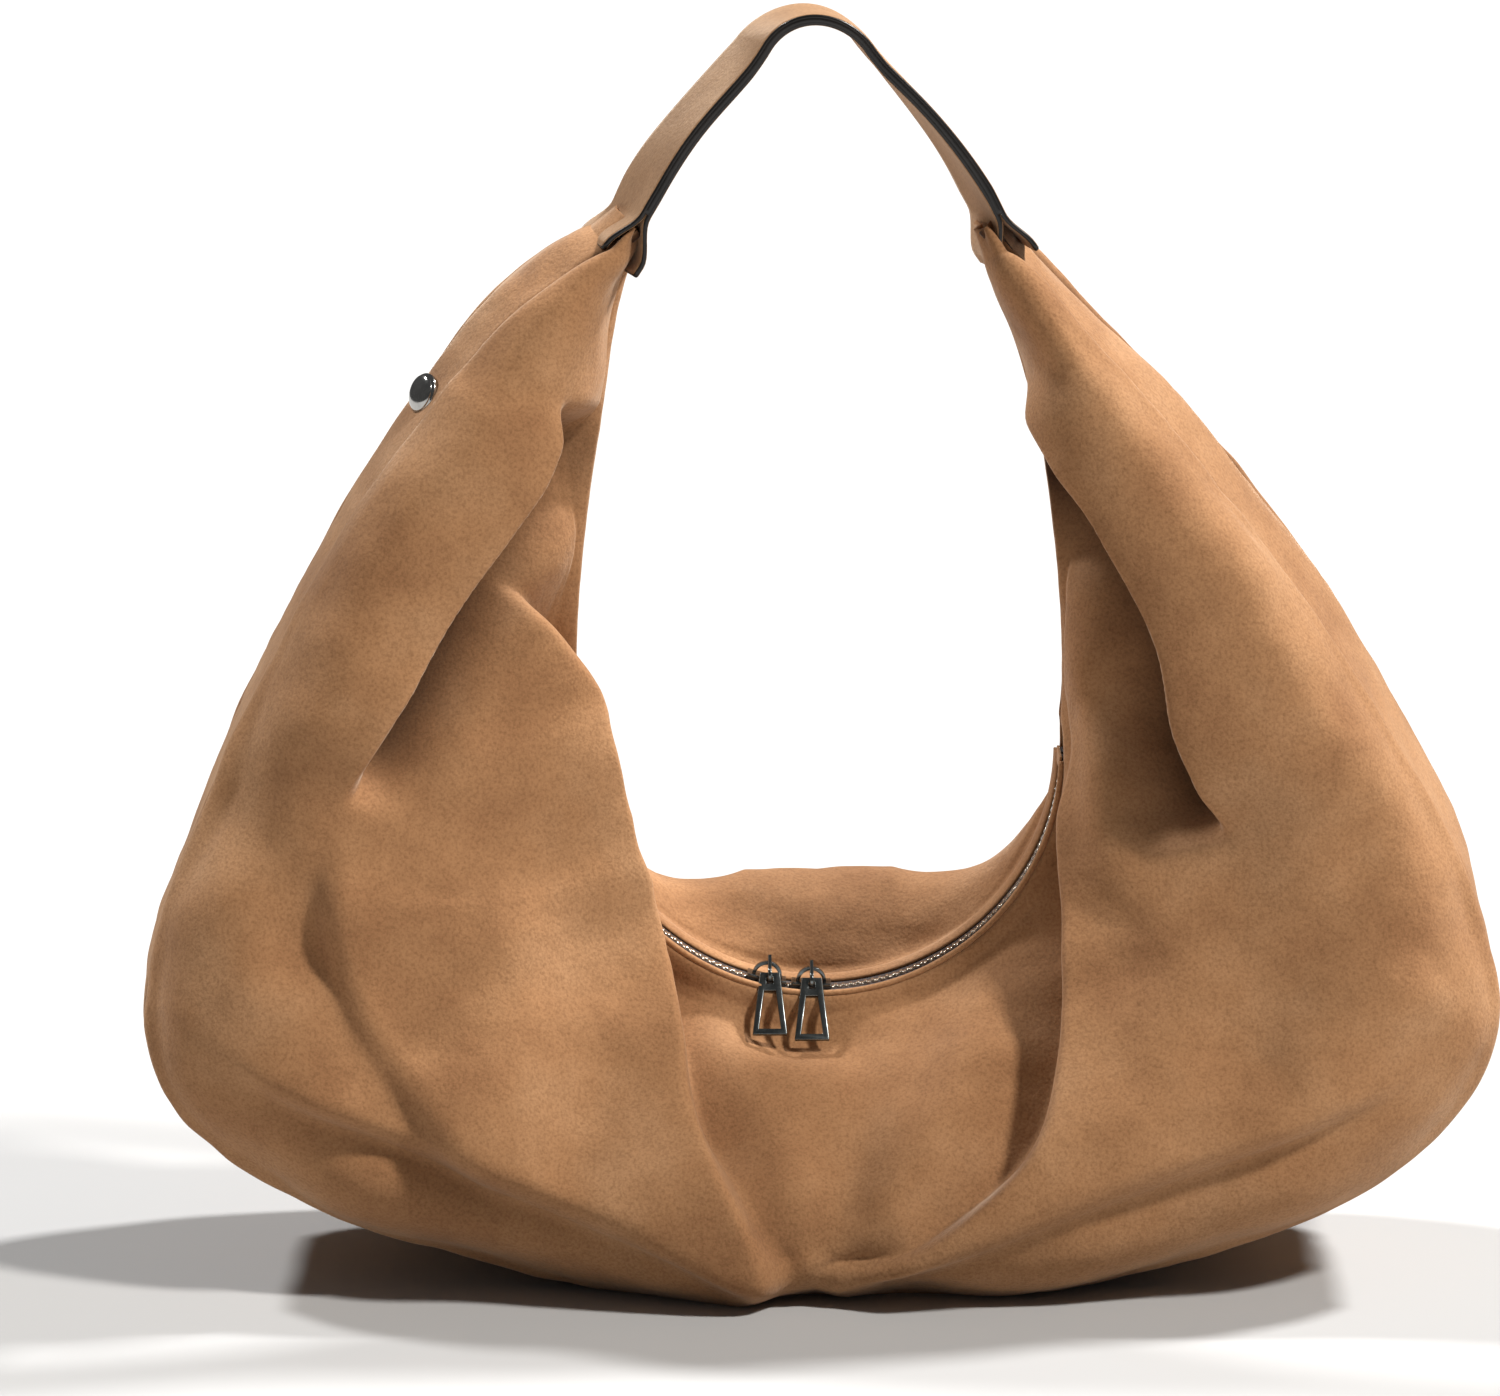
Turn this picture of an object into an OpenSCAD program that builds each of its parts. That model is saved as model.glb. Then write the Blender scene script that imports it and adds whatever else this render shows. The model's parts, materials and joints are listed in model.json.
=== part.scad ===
// Slouchy hobo bag in suede cloth: crescent body, short strap, curved top zip with two sliders.
// Frame: X to the right, front towards -Y, Z up, origin under the middle of the base.

/* [Bag] */
// Overall width from side to side
bag_w = 460; // [380:1:520]
// Overall depth from front to back
bag_d = 160; // [130:1:192]
// Overall height, to the top of the strap
bag_h = 436; // [422:1:470]
// Height of the widest line above the base
widest_z = 90; // [70:1:105]
// Length of the flat that the bag rests on
base_flat = 140; // [100:1:180]
// Width of the base panel in its middle
base_w = 90; // [70:1:104]
// Width of the side gusset where it meets the strap
gusset_tip_w = 34; // [24:1:36]
// Height of the horn tips, where the strap starts
tip_z = 353; // [335:1:365]
// Distance between the horn tips
tip_span = 134; // [115:1:150]
// Thickness of a horn at its tip, from the outer to the inner edge
tip_thick = 15; // [12:1:20]
// Depth of a horn at its tip, from front to back
tip_depth = 41; // [38:1:48]
// How far the back panel swells above the zip line
back_rise = 28; // [10:1:30]

/* [Cloth] */
// Thickness of the suede cloth with its backing
suede = 1.6; // [1:0.1:2]
// Thickness of the lining
lining = 0.6; // [0.4:0.1:0.8]
// Thickness of the facing under the edge of the opening
facing_ply = 0.8; // [0.5:0.1:1]

/* [Zip] */
// Height of the lowest point of the zip
zip_low = 94; // [85:1:100]
// Radius of the curve that the zip follows
zip_r = 84; // [70:1:102]
// Half of the zip's run, measured around its curve from its lowest point
zip_half_angle = 90; // [75:1:92]
// Distance between the panels' edges on the two sides of the zip
zip_gap = 22; // [20:1:26]
// Thickness of the zip tape
tape_t = 0.8; // [0.5:0.1:1]
// Pitch of the teeth in one row
tooth_pitch = 4.2; // [3:0.1:6]
// Width of one tooth, across the zip
tooth_w = 2; // [1.5:0.1:2.4]
// Length of one tooth, along the zip
tooth_l = 1.6; // [1:0.1:2]
// Thickness of the teeth
tooth_t = 2.4; // [1.8:0.1:2.8]
// Groove between the two rows of teeth
tooth_groove = 1.4; // [1.2:0.1:2]
// Where the sliders meet, to the left of the lowest point
meet_angle = 7.3; // [-10:0.1:20]

/* [Sliders and pulls] */
// Length of a slider
slider_l = 14; // [11:0.5:16]
// Width of a slider
slider_w = 8.8; // [8:0.1:10]
// Thickness of a slider's plates
plate_t = 1.2; // [0.9:0.1:1.5]
// Gap between the heads of the sliders where they meet
slider_gap = 2; // [1:0.1:4]
// Clear height under a slider's bridge
bridge_clear = 4; // [3.8:0.1:5]
// Clear length under a slider's bridge
bridge_l = 8; // [7:0.1:9]
// Thickness of the bridge's bar
bridge_t = 1.2; // [1:0.1:1.4]
// Width of the bridge's bar
bridge_w = 1.8; // [1.4:0.1:2]
// Distance between the two bars that the link holds
link_l = 9; // [8:0.1:10]
// Thickness of the link's wire
link_t = 1.3; // [1:0.1:1.5]
// Width of the link's hole
link_hole = 3.2; // [3.1:0.1:3.4]
// Slope of the link below level
link_slope = 15; // [12:1:17]
// Length of a pull tab below its hinge
tab_l = 23; // [18:1:26]
// Width of a pull tab at its top
tab_top_w = 7; // [6:0.5:9]
// Width of a pull tab at its foot
tab_foot_w = 12; // [10:0.5:14]
// Thickness of a pull tab
tab_t = 1.6; // [1.2:0.1:1.8]
// Width of a pull tab's rim
tab_rim = 2.2; // [1.6:0.1:2.6]
// Slope of a pull tab below level
tab_slope = 32; // [26:1:34]

/* [Strap] */
// Width of the strap
strap_w = 38; // [30:1:40]
// Radius of the bend at the top of the strap, at its middle ply
strap_r = 28; // [20:1:34]
// Thickness of one outside ply of the strap
strap_ply = 1.2; // [0.8:0.1:1.4]
// Thickness of the strap's core
strap_core_t = 1.4; // [0.8:0.1:1.6]
// Thickness of the paint on the strap's edges
edge_paint = 0.5; // [0.3:0.1:0.8]
// How far the strap's ends reach down over the horns
strap_lap = 14; // [10:1:18]
// Height of the strap's hinge line above the horn tips
flex_rise = 17; // [14:1:20]
// Length of the strap's bending zone above the hinge line
flex_half = 15; // [12:1:18]

/* [Stud] */
// Diameter of the stud's head
stud_d = 14.6; // [12:0.1:16]
// Height of the stud's domed head
stud_h = 3.2; // [2:0.1:4]
// Diameter of the stud's post
stud_post_d = 3; // [2:0.1:4]
// Diameter of the washer behind the gusset
washer_d = 10; // [8:0.5:12]
// Thickness of the washer
washer_t = 0.8; // [0.6:0.1:1]
// Distance of the stud in front of the gusset's middle
stud_y = 6; // [0:0.5:7]

/* [Hidden] */
$fn = 48;

suede_tan = "#b98a58";
edge_black = "#171310";
gunmetal = "#6b6e70";
nickel = "#a9a7a2";
tape_brown = "#3a2113";
lining_brown = "#6d4c33";

// Clearances between sewn plies, and between pieces that slide or turn.
seam_gap = 0.1;
run_gap = 0.3;

// Stations along the crescent, from -1 at the left horn tip to 1 at the right one.
stations = 20;
flat_t = 0.15;
wide_t = 0.45;
arc_t = 0.6;
zip_t = 0.55;
closed_t = 0.65;
base_t = 0.35;
// Steps across a panel from its outer seam to its edge at the opening.
steps = 8;

half_w = bag_w / 2;
zip_z = zip_low + zip_r;
// The arc runs on a little past the zip, so its angle per station comes from the zip's end.
arc_rate = zip_half_angle / zip_t;
strap_t = 2 * strap_ply + strap_core_t + 2 * seam_gap;
apex_z = bag_h - strap_t / 2 - strap_r;
tip_x = tip_span / 2;
// The strap's legs run from the horn tips and touch the round bend at the top.
leg_angle = atan2(apex_z - tip_z, tip_x) + asin(strap_r / norm([tip_x, apex_z - tip_z]));
leg_out = [sin(leg_angle), cos(leg_angle)];
leg_down = [cos(leg_angle), -sin(leg_angle)];

function mix(a, b, f) = a + (b - a) * f;
function ease(f) = let(c = max(0, min(1, f))) c * c * (3 - 2 * c);
function unit(v) = v / norm(v);
function bezier(p, f) =
    pow(1 - f, 3) * p[0] + 3 * pow(1 - f, 2) * f * p[1] + 3 * (1 - f) * f * f * p[2] + pow(f, 3) * p[3];
function flip(p, t) = t < 0 ? [-p[0], p[1]] : p;
function on_arc(r, a) = [r * cos(a), zip_z + r * sin(a)];

// The outer edge: a flat base, a round bilge up to the widest line, then the horn.
outer_tip = [tip_x, tip_z] + tip_thick / 2 * leg_out;
inner_tip = [tip_x, tip_z] - tip_thick / 2 * leg_out;
bilge = [[base_flat / 2, 0], [0.65 * half_w, 0], [half_w, 0.28 * widest_z], [half_w, widest_z]];
horn_flare = [52, -9];
horn_out = [[half_w, widest_z], [half_w, 1.75 * widest_z], outer_tip + horn_flare, outer_tip];
function outer_right(a) =
    a < flat_t ? [base_flat / 2 * a / flat_t, 0]
    : a < wide_t ? bezier(bilge, (a - flat_t) / (wide_t - flat_t))
    : bezier(horn_out, (a - wide_t) / (1 - wide_t));
function outer(t) = flip(outer_right(abs(t)), t);

// The inner edge: the zip's arc, then the horn's inner edge up to the tip.
horn_drop = [17, -46];
horn_rise = [3, 34];
arc_end = on_arc(zip_r, arc_rate * arc_t - 90);
horn_in = [
    arc_end,
    arc_end + horn_rise,
    inner_tip + horn_drop,
    inner_tip
];
function inner_right(a) =
    a < arc_t ? on_arc(zip_r, arc_rate * a - 90) : bezier(horn_in, (a - arc_t) / (1 - arc_t));
function inner(t) = flip(inner_right(abs(t)), t);
function across(t) = norm(inner(t) - outer(t));
function inward(t) = unit(inner(t) - outer(t));

// Half widths in Y at a station: at the gusset's seam, at the opening's edge, and at the fullest point.
function half_gusset(t) = mix(gusset_tip_w, base_w, pow(cos(90 * abs(t)), 1.2)) / 2;
function half_gap(t) = mix(zip_gap / 2, seam_gap, ease((abs(t) - zip_t) / (closed_t - zip_t)));
function half_depth(t) = mix(tip_depth, bag_d, pow(cos(90 * abs(t)), 0.75)) / 2;

// A panel's section at a station is a cubic curve from the seam to the opening's edge.
// The pull of its middle points is solved so that its fullest point is exactly half_depth.
function held(t, s) = pow(1 - s, 3) * half_gusset(t) + pow(s, 3) * half_gap(t);
function pulled(s) = 3.6 * pow(1 - s, 2) * s + 3 * (1 - s) * s * s;
function pull(t) = min([for (k = [1:steps - 1]) (half_depth(t) - held(t, k / steps)) / pulled(k / steps)]);
function rise_at(t) = back_rise * max(0, cos(90 * abs(t) / closed_t)) * 5.3 / across(t);
function section(t, swell) = let(l = across(t), p = pull(t)) [
    [0, -half_gusset(t) - seam_gap / 2],
    [0.08 * l, -1.2 * p],
    [(mix(0.38, 0.9, abs(t)) + swell * rise_at(t)) * l, -p],
    [l, -half_gap(t)]
];
function slope(p, f) = bezier(p, f + 0.001) - bezier(p, f - 0.001);
// A point of the section, moved inwards by a depth under the surface, kept on its own side of the seams.
function wall_point(t, s, depth, swell) = let(
        p = section(t, swell),
        d = unit(slope(p, s)),
        q = bezier(p, s) + depth * [-d[1], d[0]],
        limit = s < 0.5 ? p[0][1] : -half_gap(t) - depth / 20,
        u = s == 0 ? depth : q[0],
        o = outer(t),
        e = inward(t)
    )
    [o[0] + u * e[0], min(q[1], limit), o[1] + u * e[1]];

// Two triangles for each four-cornered face, and a closed solid between two grids of points.
function quad(a, b, c, d) = [[a, b, c], [a, c, d]];
function flat_list(l) = [for (a = l) for (b = a) b];
module between(top, under) {
    n = len(top) - 1;
    m = len(top[0]) - 1;
    size = (n + 1) * (m + 1);
    function at(i, j) = i * (m + 1) + j;
    skin = [for (i = [0:n - 1]) for (j = [0:m - 1]) quad(at(i, j), at(i, j + 1), at(i + 1, j + 1), at(i + 1, j))];
    back = [for (f = flat_list(skin)) [f[0] + size, f[2] + size, f[1] + size]];
    low = [for (i = [0:n - 1]) quad(at(i, 0), at(i + 1, 0), at(i + 1, 0) + size, at(i, 0) + size)];
    high = [for (i = [0:n - 1]) quad(at(i + 1, m), at(i, m), at(i, m) + size, at(i + 1, m) + size)];
    first = [for (j = [0:m - 1]) quad(at(0, j + 1), at(0, j), at(0, j) + size, at(0, j + 1) + size)];
    last = [for (j = [0:m - 1]) quad(at(n, j), at(n, j + 1), at(n, j + 1) + size, at(n, j) + size)];
    rims = flat_list(concat(low, high, first, last));
    polyhedron(concat(flat_list(top), flat_list(under)), concat(flat_list(skin), back, rims), convexity = 8);
}

// A ply of cloth over a range of stations and a range of the section, between two depths.
module ply(t0, t1, count, s0, s1, cuts, depth0, depth1, swell = 0) {
    grid = function(depth) [
        for (i = [0:count]) [
            for (j = [0:cuts]) wall_point(mix(t0, t1, i / count), mix(s0, s1, j / cuts), depth, swell)
        ]
    ];
    between(grid(depth0), grid(depth1));
}

module front_panel() {
    color(suede_tan) ply(-1, 1, 2 * stations, 0, 1, steps, 0, suede);
}

module back_panel() {
    color(suede_tan) mirror([0, 1, 0]) ply(-1, 1, 2 * stations, 0, 1, steps, 0, suede, 1);
}

// The base panel is cut from a bent plate by its boat-shaped plan.
module base_panel() {
    ts = [for (i = [-base_t * stations:base_t * stations]) i / stations];
    side = concat([for (t = ts) outer(t)], [for (i = [len(ts) - 1:-1:0]) outer(ts[i]) + suede * inward(ts[i])]);
    plan = concat(
        [for (t = ts) [outer(t)[0], seam_gap / 2 - half_gusset(t)]],
        [for (i = [len(ts) - 1:-1:0]) [outer(ts[i])[0], half_gusset(ts[i]) - seam_gap / 2]]
    );
    color(suede_tan) intersection() {
        rotate([90, 0, 0]) linear_extrude(base_w, center = true) polygon(side);
        translate([0, 0, -1]) linear_extrude(widest_z + 2) polygon(plan);
    }
}

module gusset_right() {
    t0 = base_t + 0.001;
    count = round((1 - base_t) * stations);
    grid = function(depth) [
        for (i = [0:count]) let(
            t = mix(t0, 1, i / count),
            p = outer(t) + depth * inward(t),
            y = half_gusset(t) - seam_gap / 2
        ) [[p[0], y, p[1]], [p[0], -y, p[1]]]
    ];
    color(suede_tan) between(grid(0), grid(suede));
}

// The stud sits square on the left gusset, on one flat between two stations.
stud_t = -0.825;
stud_along = unit(outer(stud_t - 0.025) - outer(stud_t + 0.025));
stud_seat = (outer(stud_t + 0.025) + outer(stud_t - 0.025)) / 2;
module at_stud() {
    translate([stud_seat[0], -stud_y, stud_seat[1]])
        rotate([0, -atan2(stud_along[1], stud_along[0]), 0])
            children();
}

module gusset_left() {
    color(suede_tan) difference() {
        mirror([1, 0, 0]) gusset_right();
        at_stud() cylinder(h = 10, d = stud_post_d + run_gap, center = true);
    }
}

// The domed head stands on the gusset, its post goes through, and the washer holds it inside.
module stud_cap() {
    dome_r = (pow(stud_d / 2, 2) + pow(stud_h, 2)) / (2 * stud_h);
    color(gunmetal) at_stud() translate([0, 0, run_gap / 3]) intersection() {
        translate([0, 0, stud_h - dome_r]) sphere(dome_r, $fn = 96);
        cylinder(h = stud_h + 1, d = stud_d);
    }
}

module stud_post() {
    color(gunmetal) at_stud() translate([0, 0, -suede - seam_gap])
        cylinder(h = suede + seam_gap + run_gap / 3 - 0.02, d = stud_post_d);
}

module stud_washer() {
    color(gunmetal) at_stud() translate([0, 0, -suede - 2 * seam_gap - washer_t])
        cylinder(h = washer_t, d = washer_d);
}

// Facings back the edges of the opening, under the last step of the panels.
facing_s = 1 - 1 / steps;
module facing_front(swell = 0) {
    near = suede + seam_gap;
    color(suede_tan) ply(-zip_t, zip_t, 2 * zip_t * stations, facing_s, 1, 1, near, near + facing_ply, swell);
}

module facing_back() {
    color(suede_tan) mirror([0, 1, 0]) facing_front(1);
}

// The lining's two halves meet along the middle of the base and end at the facings.
lining_t = 0.85;
// It hangs clear of the washer; the depth is longer than that, because it is measured along a slanted section.
lining_depth = 1.25 * (suede + washer_t + 3 * seam_gap);
module lining_front(swell = 0) {
    gap = lining_depth;
    count = 2 * lining_t * stations;
    grid = function(depth) [
        for (i = [0:count]) let(
            t = mix(-lining_t, lining_t, i / count),
            p = outer(t) + depth * inward(t)
        ) concat(
            [[p[0], -seam_gap / 2, p[1]], [p[0], -half_gusset(t) * 0.8, p[1]]],
            [for (j = [1:steps - 1]) wall_point(t, min(j / steps, facing_s - 0.01), depth, swell)]
        )
    ];
    color(lining_brown) between(grid(gap), grid(gap + lining));
}

module lining_back() {
    color(lining_brown) mirror([0, 1, 0]) lining_front(1);
}

// A flat pocket sewn on the back lining.
module inner_pocket() {
    gap = lining_depth + lining + seam_gap;
    color(lining_brown) mirror([0, 1, 0]) ply(-0.3, 0.3, 12, 0.25, 0.625, 3, gap, gap + lining, 1);
}

// Pieces of the zip, built around the axis of its curve; angles run from the lowest point to the left.
module curved(r0, r1, y0, y1, a0, a1) {
    translate([0, 0, zip_z]) rotate([90, 0, 0])
        rotate_extrude(start = -90 - a1, angle = a1 - a0)
            translate([r0, -y1]) square([r1 - r0, y1 - y0]);
}

module at_zip(angle) {
    translate([0, 0, zip_z]) rotate([0, angle, 0]) translate([0, 0, -zip_r]) children();
}

tooth_y = tooth_groove / 2;
tape_y = tooth_y + tooth_w + seam_gap;
tape_edge = zip_gap / 2 - 4 * seam_gap;
stop_angle = zip_half_angle - 4.5;
module zip_tape_back() {
    color(tape_brown)
        curved(zip_r - tape_t / 2, zip_r + tape_t / 2, tape_y, tape_edge, -zip_half_angle, zip_half_angle);
}

module zip_tape_front() {
    color(tape_brown) mirror([0, 1, 0]) zip_tape_back();
}

module zip_teeth_back(shift = 0) {
    step = tooth_pitch / zip_r * 180 / PI;
    count = floor((stop_angle - 1) / step) - 1;
    color(nickel) for (i = [-count:count])
        at_zip((i + shift) * step)
            translate([-tooth_l / 2, tooth_y, -tooth_t / 2]) cube([tooth_l, tooth_w, tooth_t]);
}

module zip_teeth_front() {
    color(nickel) mirror([0, 1, 0]) zip_teeth_back(0.5);
}

module zip_stops() {
    color(nickel) for (side = [-1, 1]) at_zip(side * stop_angle)
        translate([-0.75, -tape_y + seam_gap, -tooth_t / 2]) cube([1.5, 2 * (tape_y - seam_gap), tooth_t]);
}

module zip_end_tabs() {
    color(suede_tan) for (side = [-1, 1]) {
        low = side < 0 ? -zip_half_angle : stop_angle + 1;
        high = side < 0 ? -stop_angle - 1 : zip_half_angle;
        curved(zip_r - tape_t / 2 - run_gap - 1, zip_r - tape_t / 2 - run_gap, -tape_edge, tape_edge, low, high);
    }
}

// A slider is two curved plates with lips over the tape, held together by a post in the groove.
slider_half = slider_l / 2 / zip_r * 180 / PI;
slider_step = (slider_l + slider_gap) / 2 / zip_r * 180 / PI;
throat = tooth_t / 2 + run_gap;
lip_w = slider_w / 2 - tape_y - run_gap;
module slider(angle) {
    color(gunmetal) union() {
        for (side = [-1, 1]) {
            near = side < 0 ? zip_r - throat - plate_t : zip_r + throat;
            curved(near, near + plate_t, -slider_w / 2, slider_w / 2, angle - slider_half, angle + slider_half);
            lip = side < 0 ? zip_r - throat - 0.1 : zip_r + tape_t / 2 + run_gap;
            for (edge = [-1, 1]) {
                y0 = edge < 0 ? -slider_w / 2 : slider_w / 2 - lip_w;
                curved(lip, lip + throat + 0.1 - tape_t / 2 - run_gap, y0, y0 + lip_w,
                    angle - slider_half, angle + slider_half);
            }
        }
        curved(zip_r - throat - 0.1, zip_r + throat + 0.1, -tooth_groove / 2 + 0.25, tooth_groove / 2 - 0.25,
            angle - 1, angle + 1);
    }
}

angle_left = meet_angle + slider_step;
angle_right = meet_angle - slider_step;
module slider_left() {
    slider(angle_left);
}

module slider_right() {
    slider(angle_right);
}

// The bridge is an arch over the slider; its top bar carries the link.
plate_top = throat + plate_t;
bar_z = plate_top + bridge_clear + bridge_t / 2;
arch_r = min(bridge_clear, bridge_l / 2);
module arch(extra) {
    r = arch_r + extra;
    leg = bridge_clear - arch_r;
    run = bridge_l / 2 - arch_r;
    translate([-run, leg]) circle(r);
    translate([run, leg]) circle(r);
    translate([-run, leg - r]) square([2 * run + 0.001, 2 * r]);
    translate([-run - r, -r]) square([2 * (run + r), leg + r]);
}

module bridge(angle) {
    sink = zip_r - sqrt(pow(zip_r - plate_top, 2) - pow(bridge_l / 2 + bridge_t, 2)) - plate_top;
    color(gunmetal) at_zip(angle) translate([0, 0, plate_top])
        rotate([90, 0, 0]) linear_extrude(bridge_w, center = true) difference() {
            arch(bridge_t);
            arch(0);
            translate([-slider_l, -slider_l + sink + seam_gap]) square([2 * slider_l, slider_l]);
        }
}

module bridge_left() {
    bridge(angle_left);
}

module bridge_right() {
    bridge(angle_right);
}

// The link and the tab hang straight down whatever the slider's tilt, so they only share its place.
module at_bar(angle) {
    r = zip_r - bar_z;
    translate([-r * sin(angle), 0, zip_z - r * cos(angle)]) children();
}

module long_ring(length, width) {
    circle(d = width);
    translate([length, 0]) circle(d = width);
    translate([0, -width / 2]) square([length, width]);
}

// The link is a flat ring that stands on edge, round the bridge's bar and the tab's bar.
module link(angle) {
    color(gunmetal) at_bar(angle) rotate([link_slope, 0, 0]) rotate([0, 0, -90])
        rotate([90, 0, 0]) linear_extrude(link_t, center = true) difference() {
            long_ring(link_l, link_hole + 2 * link_t);
            long_ring(link_l, link_hole);
        }
}

module link_left() {
    link(angle_left);
}

module link_right() {
    link(angle_right);
}

// The tab is a flat plate that widens downwards, with a small hole for the link and a long slot.
tab_bar = 1.4;
tab_eye = link_t + 1.6;
module tab_plate() {
    head = tab_bar / 2;
    polygon([
        [-head, -tab_top_w / 2], [tab_l, -tab_foot_w / 2], [tab_l, tab_foot_w / 2], [-head, tab_top_w / 2]
    ]);
}

module tab(angle) {
    slot = tab_bar / 2 + tab_eye + 2.6;
    half = function(x) mix(tab_top_w, tab_foot_w, x / tab_l) / 2 - tab_rim;
    color(gunmetal) at_bar(angle) rotate([link_slope, 0, 0]) translate([0, -link_l, 0])
        rotate([tab_slope - link_slope, 0, 0]) rotate([0, 0, -90])
            linear_extrude(tab_t, center = true) difference() {
                tab_plate();
                translate([tab_bar / 2, -link_t / 2 - 0.5]) square([tab_eye, link_t + 1]);
                polygon([
                    [slot, -half(slot)], [tab_l - tab_rim, -half(tab_l)],
                    [tab_l - tab_rim, half(tab_l)], [slot, half(slot)]
                ]);
            }
}

module tab_left() {
    tab(angle_left);
}

module tab_right() {
    tab(angle_right);
}

// The strap's middle line, from its left end to its right one, split into the bend and the legs.
leg_top = strap_r * leg_out + [0, apex_z];
leg_run = norm([tip_x, tip_z] - leg_top);
flex_z = tip_z + flex_rise;
// Distance down a leg at which the strap starts to bend when it is laid over.
leg_free = (leg_top[1] - flex_z - flex_half) / sin(leg_angle);
function strap_line(off) = let(r = strap_r + off, leg = leg_free * leg_down) concat(
    [flip(r * leg_out + [0, apex_z] + leg, -1)],
    [for (a = [180 - (90 - leg_angle):-10:90 - leg_angle + 5]) [r * cos(a), apex_z + r * sin(a)]],
    [r * leg_out + [0, apex_z], r * leg_out + [0, apex_z] + leg]
);
function reversed(l) = [for (i = [len(l) - 1:-1:0]) l[i]];

module strap_band(from, to, y0, y1) {
    translate([0, y1, 0]) rotate([90, 0, 0]) linear_extrude(y1 - y0)
        polygon(concat(strap_line(to), reversed(strap_line(from))));
}

core_half = strap_core_t / 2;
module strap_outer() {
    color(suede_tan) strap_band(core_half + seam_gap, strap_t / 2, -strap_w / 2, strap_w / 2);
}

module strap_core() {
    color(lining_brown) strap_band(-core_half, core_half, -strap_w / 2, strap_w / 2);
}

module strap_inner() {
    color(suede_tan) strap_band(-strap_t / 2, -core_half - seam_gap, -strap_w / 2, strap_w / 2);
}

module strap_edge_back() {
    y = strap_w / 2 + seam_gap;
    color(edge_black) strap_band(-strap_t / 2, strap_t / 2, y, y + edge_paint);
}

module strap_edge_front() {
    color(edge_black) mirror([0, 1, 0]) strap_edge_back();
}

// Each end of the strap opens into two plies that lie over the horn's outer and inner edges.
outer_pace = 3 * norm(horn_flare) / (1 - wide_t);
inner_pace = 3 * norm(horn_drop) / (1 - arc_t);
function lap_point(edge, other, off) = edge - off * unit(other - edge);
module strap_end_right() {
    stem_top = leg_top + (leg_free + run_gap) * leg_down;
    crotch = [tip_x, tip_z] - (run_gap + 8) * leg_down;
    outer_t = [for (k = [0:2]) 1 - k * strap_lap / 2 / outer_pace];
    inner_t = [for (k = [0:2]) 1 - k * strap_lap / 2 / inner_pace];
    near = run_gap;
    far = run_gap + strap_ply;
    outside = concat(
        [stem_top + strap_t / 2 * leg_out, crotch + strap_t / 2 * leg_out],
        [for (t = outer_t) lap_point(outer(t), inner(t), far)],
        [for (t = reversed(outer_t)) lap_point(outer(t), inner(t), near)],
        [crotch]
    );
    inside = concat(
        [stem_top - strap_t / 2 * leg_out, crotch - strap_t / 2 * leg_out],
        [for (t = inner_t) lap_point(inner(t), outer(t), far)],
        [for (t = reversed(inner_t)) lap_point(inner(t), outer(t), near)]
    );
    color(suede_tan) rotate([90, 0, 0]) linear_extrude(strap_w, center = true)
        polygon(concat(outside, reversed(inside)));
}

module strap_end_left() {
    mirror([1, 0, 0]) strap_end_right();
}

// A web tape inside each horn ties the strap to the body.
module anchor_right() {
    top = [tip_x, tip_z] - 6 * leg_down;
    foot = (outer(0.9) + inner(0.9)) / 2;
    n = 1.2 * unit([foot[1] - top[1], top[0] - foot[0]]);
    color(lining_brown) rotate([90, 0, 0]) linear_extrude(tip_depth - 13, center = true)
        polygon([top - n, top + n, foot + n, foot - n]);
}

module anchor_left() {
    mirror([1, 0, 0]) anchor_right();
}

front_panel();
back_panel();
base_panel();
gusset_left();
gusset_right();
facing_front();
facing_back();
lining_front();
lining_back();
inner_pocket();
zip_tape_front();
zip_tape_back();
zip_teeth_front();
zip_teeth_back();
zip_stops();
zip_end_tabs();
stud_cap();
stud_post();
stud_washer();
anchor_left();
anchor_right();
strap_end_left();
strap_end_right();
strap_outer();
strap_core();
strap_inner();
strap_edge_front();
strap_edge_back();
slider_left();
slider_right();
bridge_left();
bridge_right();
link_left();
link_right();
tab_left();
tab_right();
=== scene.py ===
import json
import math
import bmesh
import bpy
import numpy as np
from mathutils import Matrix, Vector


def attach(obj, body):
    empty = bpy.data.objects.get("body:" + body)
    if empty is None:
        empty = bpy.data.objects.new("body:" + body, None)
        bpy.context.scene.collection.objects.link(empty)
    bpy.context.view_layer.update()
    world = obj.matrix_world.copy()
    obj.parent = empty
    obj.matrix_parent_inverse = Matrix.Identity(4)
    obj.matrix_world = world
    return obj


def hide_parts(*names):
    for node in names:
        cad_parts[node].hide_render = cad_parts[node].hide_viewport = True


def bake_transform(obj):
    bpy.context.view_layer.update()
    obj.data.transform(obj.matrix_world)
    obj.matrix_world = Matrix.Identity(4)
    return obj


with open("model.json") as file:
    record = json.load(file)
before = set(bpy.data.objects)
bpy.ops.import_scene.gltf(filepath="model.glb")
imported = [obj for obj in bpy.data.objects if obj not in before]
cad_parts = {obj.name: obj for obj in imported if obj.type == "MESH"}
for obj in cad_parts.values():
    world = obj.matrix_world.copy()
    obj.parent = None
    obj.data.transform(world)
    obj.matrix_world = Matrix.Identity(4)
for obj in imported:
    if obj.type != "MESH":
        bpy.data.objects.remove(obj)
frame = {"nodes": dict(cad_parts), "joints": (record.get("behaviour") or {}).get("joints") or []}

MM = 0.001
scene = bpy.context.scene
for name in ("Cube", "Light", "Camera"):
    if name in bpy.data.objects:
        bpy.data.objects.remove(bpy.data.objects[name])

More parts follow.
